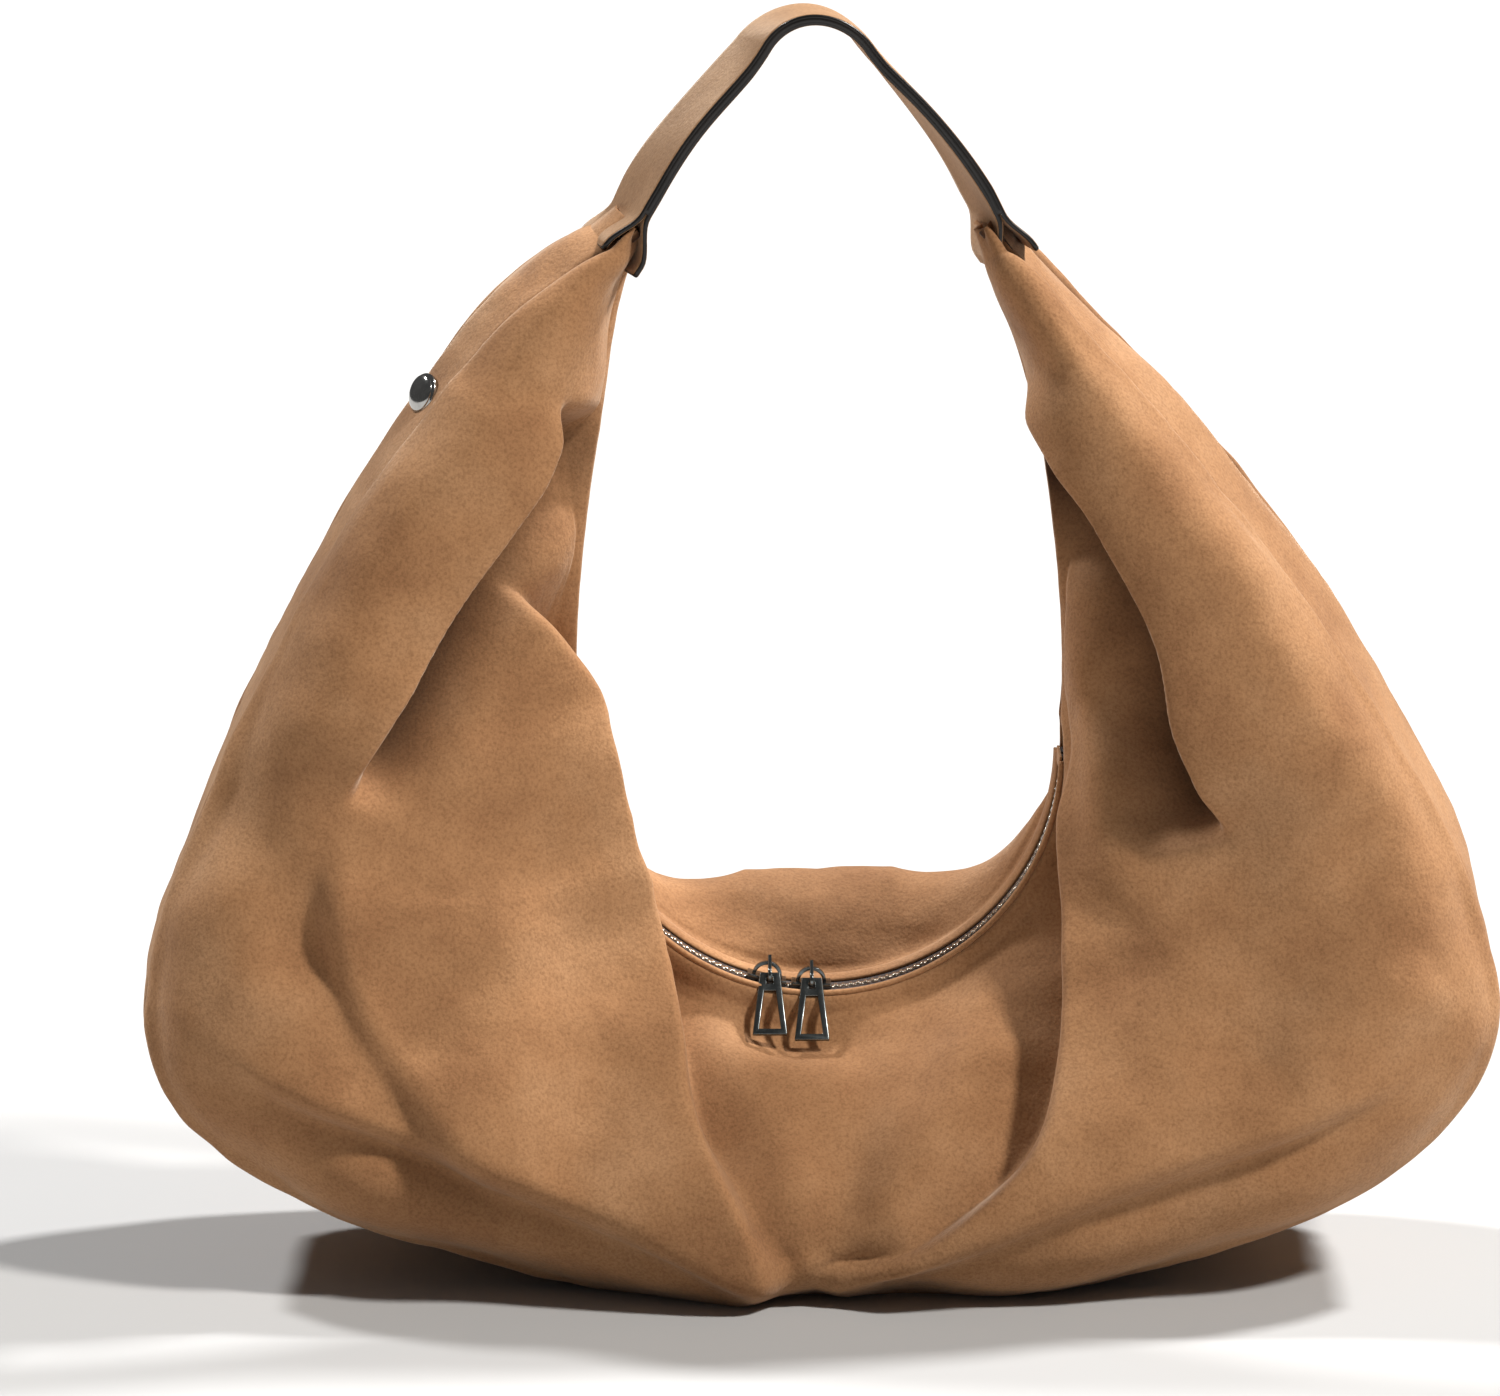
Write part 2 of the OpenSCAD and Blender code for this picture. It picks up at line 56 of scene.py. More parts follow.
# ---------------------------------------------------------------- camera
TARGET = Vector((-0.0238, 0.0, 0.1965))
DISTANCE = 2.4
TILT = math.radians(10.5)
PICTURE_WIDTH = 0.516
camera_data = bpy.data.cameras.new("camera")
camera = bpy.data.objects.new("camera", camera_data)
scene.collection.objects.link(camera)
camera.location = TARGET + DISTANCE * Vector((0, -math.cos(TILT), math.sin(TILT)))
camera.rotation_euler = (math.pi / 2 - TILT, 0, 0)
camera_data.sensor_width = 36
camera_data.lens = 36 * DISTANCE / PICTURE_WIDTH
camera_data.clip_end = 60
scene.camera = camera

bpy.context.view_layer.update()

# ---------------------------------------------------------------- the bag's shape, as in part.scad (mm)
BAG_W, BAG_D, BAG_H = 460, 160, 436
WIDEST_Z, BASE_FLAT, BASE_W = 90, 140, 90
GUSSET_TIP_W, TIP_Z, TIP_SPAN, TIP_THICK, TIP_DEPTH = 34, 353, 134, 15, 41
BACK_RISE, SUEDE, LINING = 28, 1.6, 0.6
ZIP_LOW, ZIP_R, ZIP_HALF_ANGLE, ZIP_GAP, TAPE_T = 94, 84, 90, 22, 0.8
STRAP_W, STRAP_R, STRAP_T = 38, 28, 4.0
FLAT_T, WIDE_T, ARC_T, ZIP_T, CLOSED_T = 0.15, 0.45, 0.6, 0.55, 0.65
HALF_W = BAG_W / 2
ZIP_Z = ZIP_LOW + ZIP_R
ARC_RATE = ZIP_HALF_ANGLE / ZIP_T
STRAP_SLACK, ARCH_R = 3, 23.0
APEX_Z = BAG_H - STRAP_T / 2 - STRAP_R - STRAP_SLACK
TIP_X = TIP_SPAN / 2
LEG = math.atan2(APEX_Z - TIP_Z, TIP_X) + math.asin(STRAP_R / math.hypot(TIP_X, APEX_Z - TIP_Z))
LEG_OUT = np.array([math.sin(LEG), math.cos(LEG)])
LEG_DOWN = np.array([math.cos(LEG), -math.sin(LEG)])
TIP = np.array([TIP_X, TIP_Z], float)
OUTER_TIP = TIP + TIP_THICK / 2 * LEG_OUT
INNER_TIP = TIP - TIP_THICK / 2 * LEG_OUT
TIP_RUN = 220.0
REACH = 1 + 11.0 / TIP_RUN
FULLEST = 84.0


def mix(a, b, f):
    return a + (b - a) * f


def ease(f):
    c = np.clip(f, 0, 1)
    return c * c * (3 - 2 * c)


def bezier(p, f):
    p = [np.asarray(q, float) for q in p]
    f = np.asarray(f, float)[..., None]
    return (1 - f) ** 3 * p[0] + 3 * (1 - f) ** 2 * f * p[1] + 3 * (1 - f) * f * f * p[2] + f ** 3 * p[3]


def on_arc(r, a):
    a = np.radians(a)
    return np.stack([r * np.cos(a), ZIP_Z + r * np.sin(a)], -1)


BILGE = [(BASE_FLAT / 2, 0), (0.65 * HALF_W, 0), (HALF_W, 0.28 * WIDEST_Z), (HALF_W, WIDEST_Z)]
HORN_OUT = [(HALF_W, WIDEST_Z), (HALF_W, 1.75 * WIDEST_Z), OUTER_TIP + [52, -9], OUTER_TIP]
ARC_END = on_arc(ZIP_R, np.array(ARC_RATE * ARC_T - 90.0))
HORN_IN = [ARC_END, ARC_END + [3, 34], INNER_TIP + [17, -46], INNER_TIP]


def past_tip(t, thick):
    """Beyond the tip the horn narrows into the strap's end."""
    w = (t - 1) * TIP_RUN
    return TIP + thick * LEG_OUT - w[..., None] * LEG_DOWN


def outer(t):
    a = np.abs(t)
    flat = np.stack([BASE_FLAT / 2 * a / FLAT_T, 0 * a], -1)
    low = bezier(BILGE, np.clip((a - FLAT_T) / (WIDE_T - FLAT_T), 0, 1))
    horn = bezier(HORN_OUT, np.clip((a - WIDE_T) / (1 - WIDE_T), 0, 1))
    tip = past_tip(a, (TIP_THICK / 2 * np.clip(1 - (a - 1) * TIP_RUN / 26, 0.3, 1))[..., None])
    p = np.where((a <= 1)[..., None], horn, tip)
    p = np.where((a < WIDE_T)[..., None], low, p)
    p = np.where((a < FLAT_T)[..., None], flat, p)
    p[..., 0] *= np.where(t < 0, -1, 1)
    return p


def inner(t):
    a = np.abs(t)
    arc = on_arc(ZIP_R, ARC_RATE * np.minimum(a, ARC_T) - 90)
    horn = bezier(HORN_IN, np.clip((a - ARC_T) / (1 - ARC_T), 0, 1))
    tip = past_tip(a, (-TIP_THICK / 2 * np.clip(1 - (a - 1) * TIP_RUN / 26, 0.3, 1))[..., None])
    p = np.where((a < ARC_T)[..., None], arc, np.where((a <= 1)[..., None], horn, tip))
    p[..., 0] *= np.where(t < 0, -1, 1)
    return p


def cosine(t, k, scale=1.0):
    return np.maximum(0, np.cos(np.radians(90 * np.minimum(np.abs(t) / scale, 1)))) ** k


def half_gusset(t):
    return mix(GUSSET_TIP_W, BASE_W, cosine(t, 1.2)) / 2


def half_gap(t):
    return mix(ZIP_GAP / 2, 0.1, ease((np.abs(t) - ZIP_T) / (CLOSED_T - ZIP_T)))


def half_depth(t):
    return mix(TIP_DEPTH, BAG_D, cosine(t, 0.75)) / 2


def tip_shrink(t):
    """Beyond the tip the cloth narrows, to fit under the strap's ends."""
    return np.clip(1 - (np.abs(t) - 1) * TIP_RUN / 60, 0.8, 1)


def trim(t):
    """The cloth hangs a little inside the pattern's outline, more on the right horn and at the bilges."""
    a = np.abs(t)
    at = [0.15, 0.18, 0.21, 0.27, 0.33, 0.39, 0.45, 0.56, 0.67, 0.75, 0.82, 0.89, 0.945, 1.0, 1.1]
    left = np.interp(a, at, [0, 4, 9, 13, 11, 5, -1.5, -1, 0, -0.5, -0.5, 0, 1, 0, 0])
    right = np.interp(a, at, [0, 2.5, 6, 10, 11, 7, -2.5, -4.5, 2, 7.5, 11.5, 14, 11, 3, 0])
    soft = np.where(t < 0, left, right)
    if soft.ndim and len(soft) > 12:
        k = max(len(soft) // 40, 1)
        pad = np.pad(soft, k, mode="edge")
        soft = np.convolve(pad, np.ones(2 * k + 1) / (2 * k + 1), "valid")
    return soft


def outline(t):
    """The outline of the cloth as it hangs, which the panels, gussets and base share."""
    o = outer(t)
    e = inner(t) - o
    e = e / np.linalg.norm(e, axis=-1, keepdims=True)
    return o + trim(t)[:, None] * e, e


def seam_inset(t):
    """How far the front seam lies inside the outline, so that the gusset shows along the horns."""
    f = np.clip((np.abs(t) - WIDE_T) / (1 - WIDE_T), 0, 1)
    left = np.interp(f, [0, 0.2, 0.4, 0.6, 0.75, 0.9, 1], [0, 1, 2.5, 4.5, 6.5, 8, 6])
    right = np.interp(f, [0, 0.2, 0.35, 0.5, 0.65, 0.8, 1], [0, 2.5, 6.5, 9, 8, 5, 3])
    return np.where(t < 0, left, right)


# ---------------------------------------------------------------- meshes from grids of points
def grid_faces(n, m, offset=0, flip=False):
    i = np.arange(n * m).reshape(n, m)
    q = np.stack([i[:-1, :-1], i[1:, :-1], i[1:, 1:], i[:-1, 1:]], -1).reshape(-1, 4)
    return (q[:, ::-1] if flip else q) + offset


def lean(v):
    """The strap and the horns' tips stand a little to the left."""
    v = np.array(v, float)
    v[:, 0] -= 3.8 * ease((v[:, 2] - 285) / 65)
    return v


def make(name, verts, faces, material):
    """An object from points in mm and lists of corners."""
    mesh = bpy.data.meshes.new(name)
    mesh.from_pydata(lean(verts) * MM, [], faces)
    mesh.update()
    mesh.polygons.foreach_set("use_smooth", [True] * len(mesh.polygons))
    obj = bpy.data.objects.new(name, mesh)
    scene.collection.objects.link(obj)
    mesh.materials.append(material)
    return obj


def place_on(obj, body, slot, *nodes):
    """Puts the piece on the body that it rides on and hides the CAD nodes that it replaces; slot is not used."""
    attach(obj, body)
    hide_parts(*nodes)


def tube_faces(n, m, offset=0):
    """Faces of n rings of m points, with both ends closed."""
    i = np.arange(n * m).reshape(n, m) + offset
    j = np.roll(i, -1, axis=1)
    return np.stack([i[:-1], i[1:], j[1:], j[:-1]], -1).reshape(-1, 4).tolist() + [list(i[0]), list(i[-1][::-1])]


def shell(name, top, under, material, painted_shade=None):
    """A closed solid between two grids of points, whose top is the outer side."""
    n, m = top.shape[:2]
    size = n * m
    i = np.arange(size).reshape(n, m)
    faces = [grid_faces(n, m), grid_faces(n, m, size, True)]

    def rim(edge):
        a, b = edge[:-1], edge[1:]
        return np.stack([b, a, a + size, b + size], -1)
    faces += [rim(i[:, 0][::-1]), rim(i[:, -1]), rim(i[0, :]), rim(i[-1, :][::-1])]
    verts = np.concatenate([top.reshape(-1, 3), under.reshape(-1, 3)])
    obj = make(name, verts, np.concatenate(faces).tolist(), material)
    fix_normals(obj)
    # painted shade per point, which the suede material reads to darken the cloth in folds and along seams
    if painted_shade is not None:
        layer = obj.data.attributes.new("painted_fold_seam_shade", "FLOAT", "POINT")
        layer.data.foreach_set("value", np.concatenate([painted_shade.ravel(), painted_shade.ravel()]).astype(np.float32))
    return obj


def fix_normals(obj):
    bm = bmesh.new()
    bm.from_mesh(obj.data)
    bmesh.ops.recalc_face_normals(bm, faces=bm.faces)
    bm.to_mesh(obj.data)
    bm.free()


def normals(grid):
    a = np.gradient(grid, axis=0)
    b = np.gradient(grid, axis=1)
    n = np.cross(a, b)
    n /= np.maximum(np.linalg.norm(n, axis=-1, keepdims=True), 1e-9)
    return n


def settle(grid, passes):
    """Rounds a grid of points off, and leaves its edges where they are."""
    g = grid.copy()
    for _ in range(passes):
        mean = (g[:-2, 1:-1] + g[2:, 1:-1] + g[1:-1, :-2] + g[1:-1, 2:]) / 4
        inside = g[1:-1, 1:-1]
        g[1:-1, 1:-1] = inside + 0.5 * (mean - inside)
    return g


def waves(p, length, seed, count=18, spread=0.35):
    """Smooth seeded noise of about one unit, from waves in all directions."""
    rng = np.random.default_rng(seed)
    total = np.zeros(p.shape[:-1])
    for _ in range(count):
        d = rng.normal(size=3)
        d /= np.linalg.norm(d)
        k = 2 * math.pi / (length * (1 + spread * rng.uniform(-1, 1)))
        total += np.sin(k * (p @ d) + rng.uniform(0, 2 * math.pi))
    return total / math.sqrt(count / 2)


# ---------------------------------------------------------------- folds along drawn lines
def smooth_line(points, count=90):
    p = np.asarray(points, float)
    q = np.vstack([2 * p[0] - p[1], p, 2 * p[-1] - p[-2]])
    out = []
    for k in range(1, len(q) - 2):
        u = np.linspace(0, 1, 24, endpoint=False)[:, None]
        a, b, c, d = q[k - 1], q[k], q[k + 1], q[k + 2]
        square, cube = 2 * a - 5 * b + 4 * c - d, 3 * b - a - 3 * c + d
        out.append(0.5 * (2 * b + (c - a) * u + square * u ** 2 + cube * u ** 3))
    line = np.vstack(out + [p[-1:]])
    run = np.concatenate([[0], np.cumsum(np.linalg.norm(np.diff(line, axis=0), axis=1))])
    even = np.linspace(0, run[-1], count)
    return np.stack([np.interp(even, run, line[:, k]) for k in range(2)], -1), run[-1]


def along(p2, points):
    """Signed distance to a line, left of its direction positive, place along it (0 to 1) and sideways direction."""
    line, length = smooth_line(points)
    tangent = np.gradient(line, axis=0)
    tangent /= np.linalg.norm(tangent, axis=1, keepdims=True)
    normal = np.stack([-tangent[:, 1], tangent[:, 0]], -1)
    flat = p2.reshape(-1, 2)
    best = np.zeros(len(flat), int)
    for start in range(0, len(flat), 20000):
        chunk = flat[start:start + 20000]
        d2 = ((chunk[:, None, :] - line[None]) ** 2).sum(-1)
        best[start:start + 20000] = d2.argmin(1)
    rel = flat - line[best]
    side = (rel * normal[best]).sum(-1)
    run = (rel * tangent[best]).sum(-1)
    s = best / (len(line) - 1) + run / length
    near = np.linalg.norm(rel, axis=1) * np.sign(side)
    d = np.where(np.abs(run) < 2 * length / len(line), side, near)
    shape = p2.shape[:-1]
    return d.reshape(shape), s.reshape(shape), normal[best].reshape(shape + (2,))


def by_steps(s, steps):
    return np.interp(s, [k for k, _ in steps], [v for _, v in steps])


class Cloth:
    """Collects the height over the cloth, and the sideways shift, that folds give to a grid of points."""

    def __init__(self, base):
        self.p2 = base[..., [0, 2]]
        self.high = np.zeros(base.shape[:-1])
        self.deep = np.zeros(base.shape[:-1])
        self.side = np.zeros(base.shape[:-1] + (2,))

    def fold(self, points, upper, up, rec, w_up, w_rec, lap, amount=((0, 1), (1, 1)), fade=(0.12, 0.12), edge=2.0,
             laps=None, sink=0.0):
        """A fold whose upper layer (1 left, -1 right of the line) laps over the cloth beside it.

        up and w_up are the upper layer's rise and width, rec and w_rec those of the recess beside it; lap is how far
        the edge is pushed over it; amount and laps scale them along the line; sink wipes older folds in the recess.
        """
        d, s, normal = along(self.p2, points)
        d = d * upper
        a = by_steps(s, amount) * ease(s / fade[0]) * ease((1 - s) / fade[1])
        rise = ease((d + edge) / (2 * edge) + 0.1) * np.exp(-(np.maximum(d - 3, 0) / w_up) ** 1.3)
        flank = np.exp(-(np.maximum(-d, 0) / w_rec) ** (2.6 if sink else 1.6))
        dip = (1 - ease((d + edge) / (2 * edge))) * flank
        self.high *= 1 - sink * np.clip(a, 0, 1) * dip
        self.high += a * (up * rise - rec * dip)
        # the recess's depth, which sets the painted shade deep in the fold
        self.deep += a * rec * dip * ease((-d + 1) / 3)
        over = a if laps is None else by_steps(s, laps)
        push = upper * over * lap * np.exp(-((d - 2.0) / np.where(d > 2, 13.0, 4.5)) ** 2) * (d > -3)
        self.side -= push[..., None] * normal

    def ridge(self, points, height, width, fade=(0.25, 0.25)):
        """A soft ridge, or a valley if its height is negative."""
        d, s, _ = along(self.p2, points)
        a = ease(s / fade[0]) * ease((1 - s) / fade[1])
        self.high += a * height * np.exp(-np.abs(d / width) ** 2.0)


def panel_base(swell, nt, ns, inset):
    """The panel without its folds: cross-sections from the seam (s = 0) to the opening (s = 1)."""
    t = np.linspace(-REACH, REACH, nt)
    (o, e), i = outline(t), inner(t)
    length = np.linalg.norm(i - o, axis=-1, keepdims=True)
    shift = seam_inset(t)[:, None] if inset else 0
    o = o + shift * e
    l = length[:, 0] - (shift[:, 0] if inset else 0)
    hg, gap, depth = half_gusset(t), half_gap(t), half_depth(t)
    hg, depth = hg * tip_shrink(t), depth * tip_shrink(t)
    k = np.arange(1, 8) / 8
    held = (1 - k) ** 3 * hg[:, None] + k ** 3 * gap[:, None]
    pulled = 3.6 * (1 - k) ** 2 * k + 3 * (1 - k) * k * k
    p = ((depth[:, None] - held) / pulled).min(1)
    rise = (BACK_RISE + 3) * cosine(t, 1, CLOSED_T) * 5.3 / l
    third = mix(0.38, 0.9, np.minimum(np.abs(t), 1)) + swell * rise
    s = np.linspace(0, 1, ns)
    s = s - 0.09 * np.sin(2 * math.pi * s)
    control_u = np.stack([0 * l, 0.08 * l, third * l, l], -1)
    control_y = np.stack([-hg - 0.05, -1.2 * p, -p, -gap], -1)
    b = np.stack([(1 - s) ** 3, 3 * (1 - s) ** 2 * s, 3 * (1 - s) * s * s, s ** 3], -1)
    u = control_u @ b.T
    y = control_y @ b.T
    grid = np.stack([o[:, None, 0] + u * e[:, None, 0], y, o[:, None, 1] + u * e[:, None, 1]], -1)
    return t, grid


def cloth_panel(grid, cloth, t):
    """Adds the folds to the base surface: its outer points, the normals, the height and the painted shade of the folds
    and seams.
    """
    n = normals(grid)
    if n[..., 1].mean() > 0:
        n = -n
    seam = np.linalg.norm(grid - grid[:, :1], axis=-1)
    hem = np.linalg.norm(grid - grid[:, -1:], axis=-1)
    keep = ease(seam / 16) * ease(hem / 9)
    tip = ease((1.0 - np.abs(t)) / 0.06)[:, None]
    high = cloth.high * keep * tip
    side = cloth.side * (ease(seam / 16) * ease(hem / 4) * tip)[..., None]
    # the edges roll in to the seam, and the hem has a raised lip with a stitched groove under it
    high += -3.0 * np.exp(-(seam / 2.3) ** 2) + 2.0 * np.exp(-((seam - 6.5) / 4.5) ** 2)
    pucker = waves(grid, 15, 41, 10) * waves(grid, 60, 42, 8)
    high += 0.35 * pucker * np.exp(-seam / 9) * ease(seam / 3)
    lip = ease((1.02 - np.abs(t)) / 0.03)[:, None]
    high += lip * (0.9 * np.exp(-((hem - 1.6) / 1.8) ** 2) - 0.7 * np.exp(-((hem - 5.4) / 0.9) ** 2))
    high += (1.3 * waves(grid, 80, 5) + 0.3 * waves(grid, 28, 6)) * keep + 0.05 * waves(grid, 9, 8, 24) * ease(seam / 6)
    top = grid + high[..., None] * n
    top[..., 0] += side[..., 0]
    top[..., 2] += side[..., 1]
    top = settle(top, 3)
    top[..., 2] = np.maximum(top[..., 2], 0.05)
    top[..., 1] = np.minimum(top[..., 1], -0.1)
    # the fullest folds stay near the CAD panel
    past = np.maximum(-FULLEST - top[..., 1], 0)
    top[..., 1] += past - 7.0 * np.tanh(past / 7.0)
    # painted shade, strongest deep in a fold's recess and along the seam
    painted_shade = np.clip(cloth.deep * ease(seam / 16) * tip / 24, 0, 1) ** 1.2 * 0.9 + 0.95 * np.exp(-(seam / 2.6) ** 2)
    return top, n, high, np.clip(painted_shade, 0, 0.95)


def under_ply(top, n):
    """The inner side of the cloth, one thickness below its outer points."""
    m = normals(top)
    return top - SUEDE * m * np.sign((m * n).sum(-1, keepdims=True))


# ---------------------------------------------------------------- materials
def colour(r, g, b):
    """sRGB, 0 to 255, to linear."""
    def one(v):
        v /= 255
        return v / 12.92 if v <= 0.04045 else ((v + 0.055) / 1.055) ** 2.4
    return (one(r), one(g), one(b), 1)


def new_material(name):
    m = bpy.data.materials.new(name)
    m.use_nodes = True
    nodes, links = m.node_tree.nodes, m.node_tree.links
    shader = nodes["Principled BSDF"]
    return m, nodes, links, shader


def noise_node(nodes, links, coordinates, scale, detail=3.0, rough=0.55):
    n = nodes.new("ShaderNodeTexNoise")
    n.inputs["Scale"].default_value = scale
    n.inputs["Detail"].default_value = detail
    n.inputs["Roughness"].default_value = rough
    links.new(coordinates, n.inputs["Vector"])
    return n.outputs["Fac"]


def ramp(nodes, links, value, stops):
    r = nodes.new("ShaderNodeValToRGB")
    while len(r.color_ramp.elements) < len(stops):
        r.color_ramp.elements.new(0.5)
    for e, (at, c) in zip(r.color_ramp.elements, stops):
        e.position = at
        e.color = c
    links.new(value, r.inputs["Fac"])
    return r.outputs["Color"]


def blend_colour(nodes, links, mode, factor, a, b):
    m = nodes.new("ShaderNodeMix")
    m.data_type = "RGBA"
    m.blend_type = mode
    if isinstance(factor, float):
        m.inputs["Factor"].default_value = factor
    else:
        links.new(factor, m.inputs["Factor"])
    for socket, v in ((m.inputs["A"], a), (m.inputs["B"], b)):
        if isinstance(v, tuple):
            socket.default_value = v
        else:
            links.new(v, socket)
    return m.outputs["Result"]


def suede(name, dark, mid, light, nap=1.0):
    m, nodes, links, shader = new_material(name)
    place = nodes.new("ShaderNodeTexCoord").outputs["Object"]
    big = noise_node(nodes, links, place, 22, 3)
    middle = noise_node(nodes, links, place, 120, 4, 0.6)
    fine = noise_node(nodes, links, place, 900, 3, 0.7)
    base = ramp(nodes, links, big, [(0.3, dark), (0.5, mid), (0.72, light)])
    spots = ramp(nodes, links, middle, [(0.3, (0.86, 0.85, 0.84, 1)), (0.6, (1, 1, 1, 1))])
    grain = ramp(nodes, links, fine, [(0.32, (0.62, 0.58, 0.54, 1)), (0.58, (1, 1, 1, 1))])
    c = blend_colour(nodes, links, "MULTIPLY", 0.5, base, spots)
    c = blend_colour(nodes, links, "MULTIPLY", 0.75, c, grain)
    # painted shade: the colour is darkened deep in a fold and along a seam, by the amount that the mesh's attribute
    # gives
    painted_shade = nodes.new("ShaderNodeAttribute")
    painted_shade.attribute_name = "painted_fold_seam_shade"
    c = blend_colour(nodes, links, "MULTIPLY", painted_shade.outputs["Fac"], c, colour(70, 44, 26))
    links.new(c, shader.inputs["Base Color"])
    shader.inputs["Roughness"].default_value = 0.88
    shader.inputs["Specular IOR Level"].default_value = 0.2
    shader.inputs["Sheen Weight"].default_value = 0.22
    shader.inputs["Sheen Roughness"].default_value = 0.45
    shader.inputs["Sheen Tint"].default_value = (1.0, 0.86, 0.7, 1)
    cells = nodes.new("ShaderNodeTexVoronoi")
    cells.inputs["Scale"].default_value = 780
    links.new(place, cells.inputs["Vector"])
    first = nodes.new("ShaderNodeBump")
    first.inputs["Strength"].default_value = 0.105 * nap
    first.inputs["Distance"].default_value = 0.0009
    links.new(cells.outputs["Distance"], first.inputs["Height"])
    first.invert = True
    second = nodes.new("ShaderNodeBump")
    second.inputs["Strength"].default_value = 0.10 * nap
    second.inputs["Distance"].default_value = 0.0008
    links.new(fine, second.inputs["Height"])
    links.new(first.outputs["Normal"], second.inputs["Normal"])
    third = nodes.new("ShaderNodeBump")
    third.inputs["Strength"].default_value = 0.12 * nap
    third.inputs["Distance"].default_value = 0.003
    links.new(middle, third.inputs["Height"])
    links.new(second.outputs["Normal"], third.inputs["Normal"])
    links.new(third.outputs["Normal"], shader.inputs["Normal"])
    return m


def woven(name, base, light, pitch, strength=0.5):
    """A ribbed weave from two crossing waves, with a little colour from thread to thread."""
    m, nodes, links, shader = new_material(name)
    place = nodes.new("ShaderNodeTexCoord").outputs["Object"]
    height = None
    for direction in ("X", "Y", "Z"):
        w = nodes.new("ShaderNodeTexWave")
        w.bands_direction = direction
        w.inputs["Scale"].default_value = 1 / pitch / 2
        w.inputs["Distortion"].default_value = 0.4
        links.new(place, w.inputs["Vector"])
        if height is None:
            height = w.outputs["Fac"]
        else:
            add = nodes.new("ShaderNodeMath")
            add.operation = "ADD"
            links.new(height, add.inputs[0])
            links.new(w.outputs["Fac"], add.inputs[1])
            height = add.outputs[0]
    uneven = noise_node(nodes, links, place, 300, 4)
    c = ramp(nodes, links, uneven, [(0.3, base), (0.7, light)])
    links.new(c, shader.inputs["Base Color"])
    shader.inputs["Roughness"].default_value = 0.8
    shader.inputs["Sheen Weight"].default_value = 0.1
    bump = nodes.new("ShaderNodeBump")
    bump.inputs["Strength"].default_value = strength
    bump.inputs["Distance"].default_value = 0.0003
    links.new(height, bump.inputs["Height"])
    links.new(bump.outputs["Normal"], shader.inputs["Normal"])
    return m


def metal(name, base, light, rough, scratch=0.12):
    m, nodes, links, shader = new_material(name)
    place = nodes.new("ShaderNodeTexCoord").outputs["Object"]
    cloud = noise_node(nodes, links, place, 160, 4)
    c = ramp(nodes, links, cloud, [(0.3, base), (0.7, light)])
    links.new(c, shader.inputs["Base Color"])
    shader.inputs["Metallic"].default_value = 1
    wear = noise_node(nodes, links, place, 900, 5, 0.7)
    rough_range = nodes.new("ShaderNodeMapRange")
    rough_range.inputs["To Min"].default_value = max(rough - scratch / 2, 0.03)
    rough_range.inputs["To Max"].default_value = rough + scratch
    links.new(wear, rough_range.inputs["Value"])
    links.new(rough_range.outputs["Result"], shader.inputs["Roughness"])
    bump = nodes.new("ShaderNodeBump")
    bump.inputs["Strength"].default_value = 0.05
    bump.inputs["Distance"].default_value = 0.0001
    links.new(wear, bump.inputs["Height"])
    links.new(bump.outputs["Normal"], shader.inputs["Normal"])
    return m


def painted(name):
    m, nodes, links, shader = new_material(name)
    place = nodes.new("ShaderNodeTexCoord").outputs["Object"]
    cloud = noise_node(nodes, links, place, 60, 4)
    c = ramp(nodes, links, cloud, [(0.3, colour(14, 12, 11)), (0.7, colour(30, 26, 24))])
    links.new(c, shader.inputs["Base Color"])
    shader.inputs["Roughness"].default_value = 0.32
    shader.inputs["Specular IOR Level"].default_value = 0.35
    shader.inputs["Coat Weight"].default_value = 0.1
    shader.inputs["Coat Roughness"].default_value = 0.15
    wave = noise_node(nodes, links, place, 350, 3)
    bump = nodes.new("ShaderNodeBump")
    bump.inputs["Strength"].default_value = 0.25
    bump.inputs["Distance"].default_value = 0.0004
    links.new(wave, bump.inputs["Height"])
    links.new(bump.outputs["Normal"], shader.inputs["Normal"])
    return m


def floor_material():
    m, nodes, links, shader = new_material("floor")
    place = nodes.new("ShaderNodeTexCoord").outputs["Object"]
    cloud = noise_node(nodes, links, place, 3, 2)
    c = ramp(nodes, links, cloud, [(0.3, (0.446, 0.443, 0.438, 1)), (0.7, (0.456, 0.453, 0.448, 1))])
    links.new(c, shader.inputs["Base Color"])
    shader.inputs["Roughness"].default_value = 0.95
    return m


SUEDE_MAT = suede("suede", colour(152, 108, 72), colour(168, 123, 84), colour(180, 136, 97))
SUEDE_STRAP = suede("suede_strap", colour(150, 112, 78), colour(166, 127, 92), colour(178, 140, 105), 0.7)
LINING_MAT = woven("lining", colour(96, 70, 50), colour(118, 88, 64), 0.0012)
TAPE_MAT = woven("zip_tape", colour(40, 22, 12), colour(58, 34, 20), 0.0011, 0.8)
WEB_MAT = woven("webbing", colour(60, 44, 32), colour(84, 62, 46), 0.0016, 0.8)
EDGE_MAT = painted("edge_paint")
GUN_MAT = metal("gunmetal", colour(96, 100, 100), colour(122, 126, 125), 0.2)
NICKEL_MAT = metal("nickel", colour(196, 188, 176), colour(226, 218, 206), 0.22)
STUD_MAT = metal("stud_metal", colour(150, 150, 148), colour(188, 186, 182), 0.12, 0.06)


# ---------------------------------------------------------------- front panel
t, front = panel_base(0, 520, 220, True)
cloth = Cloth(front)
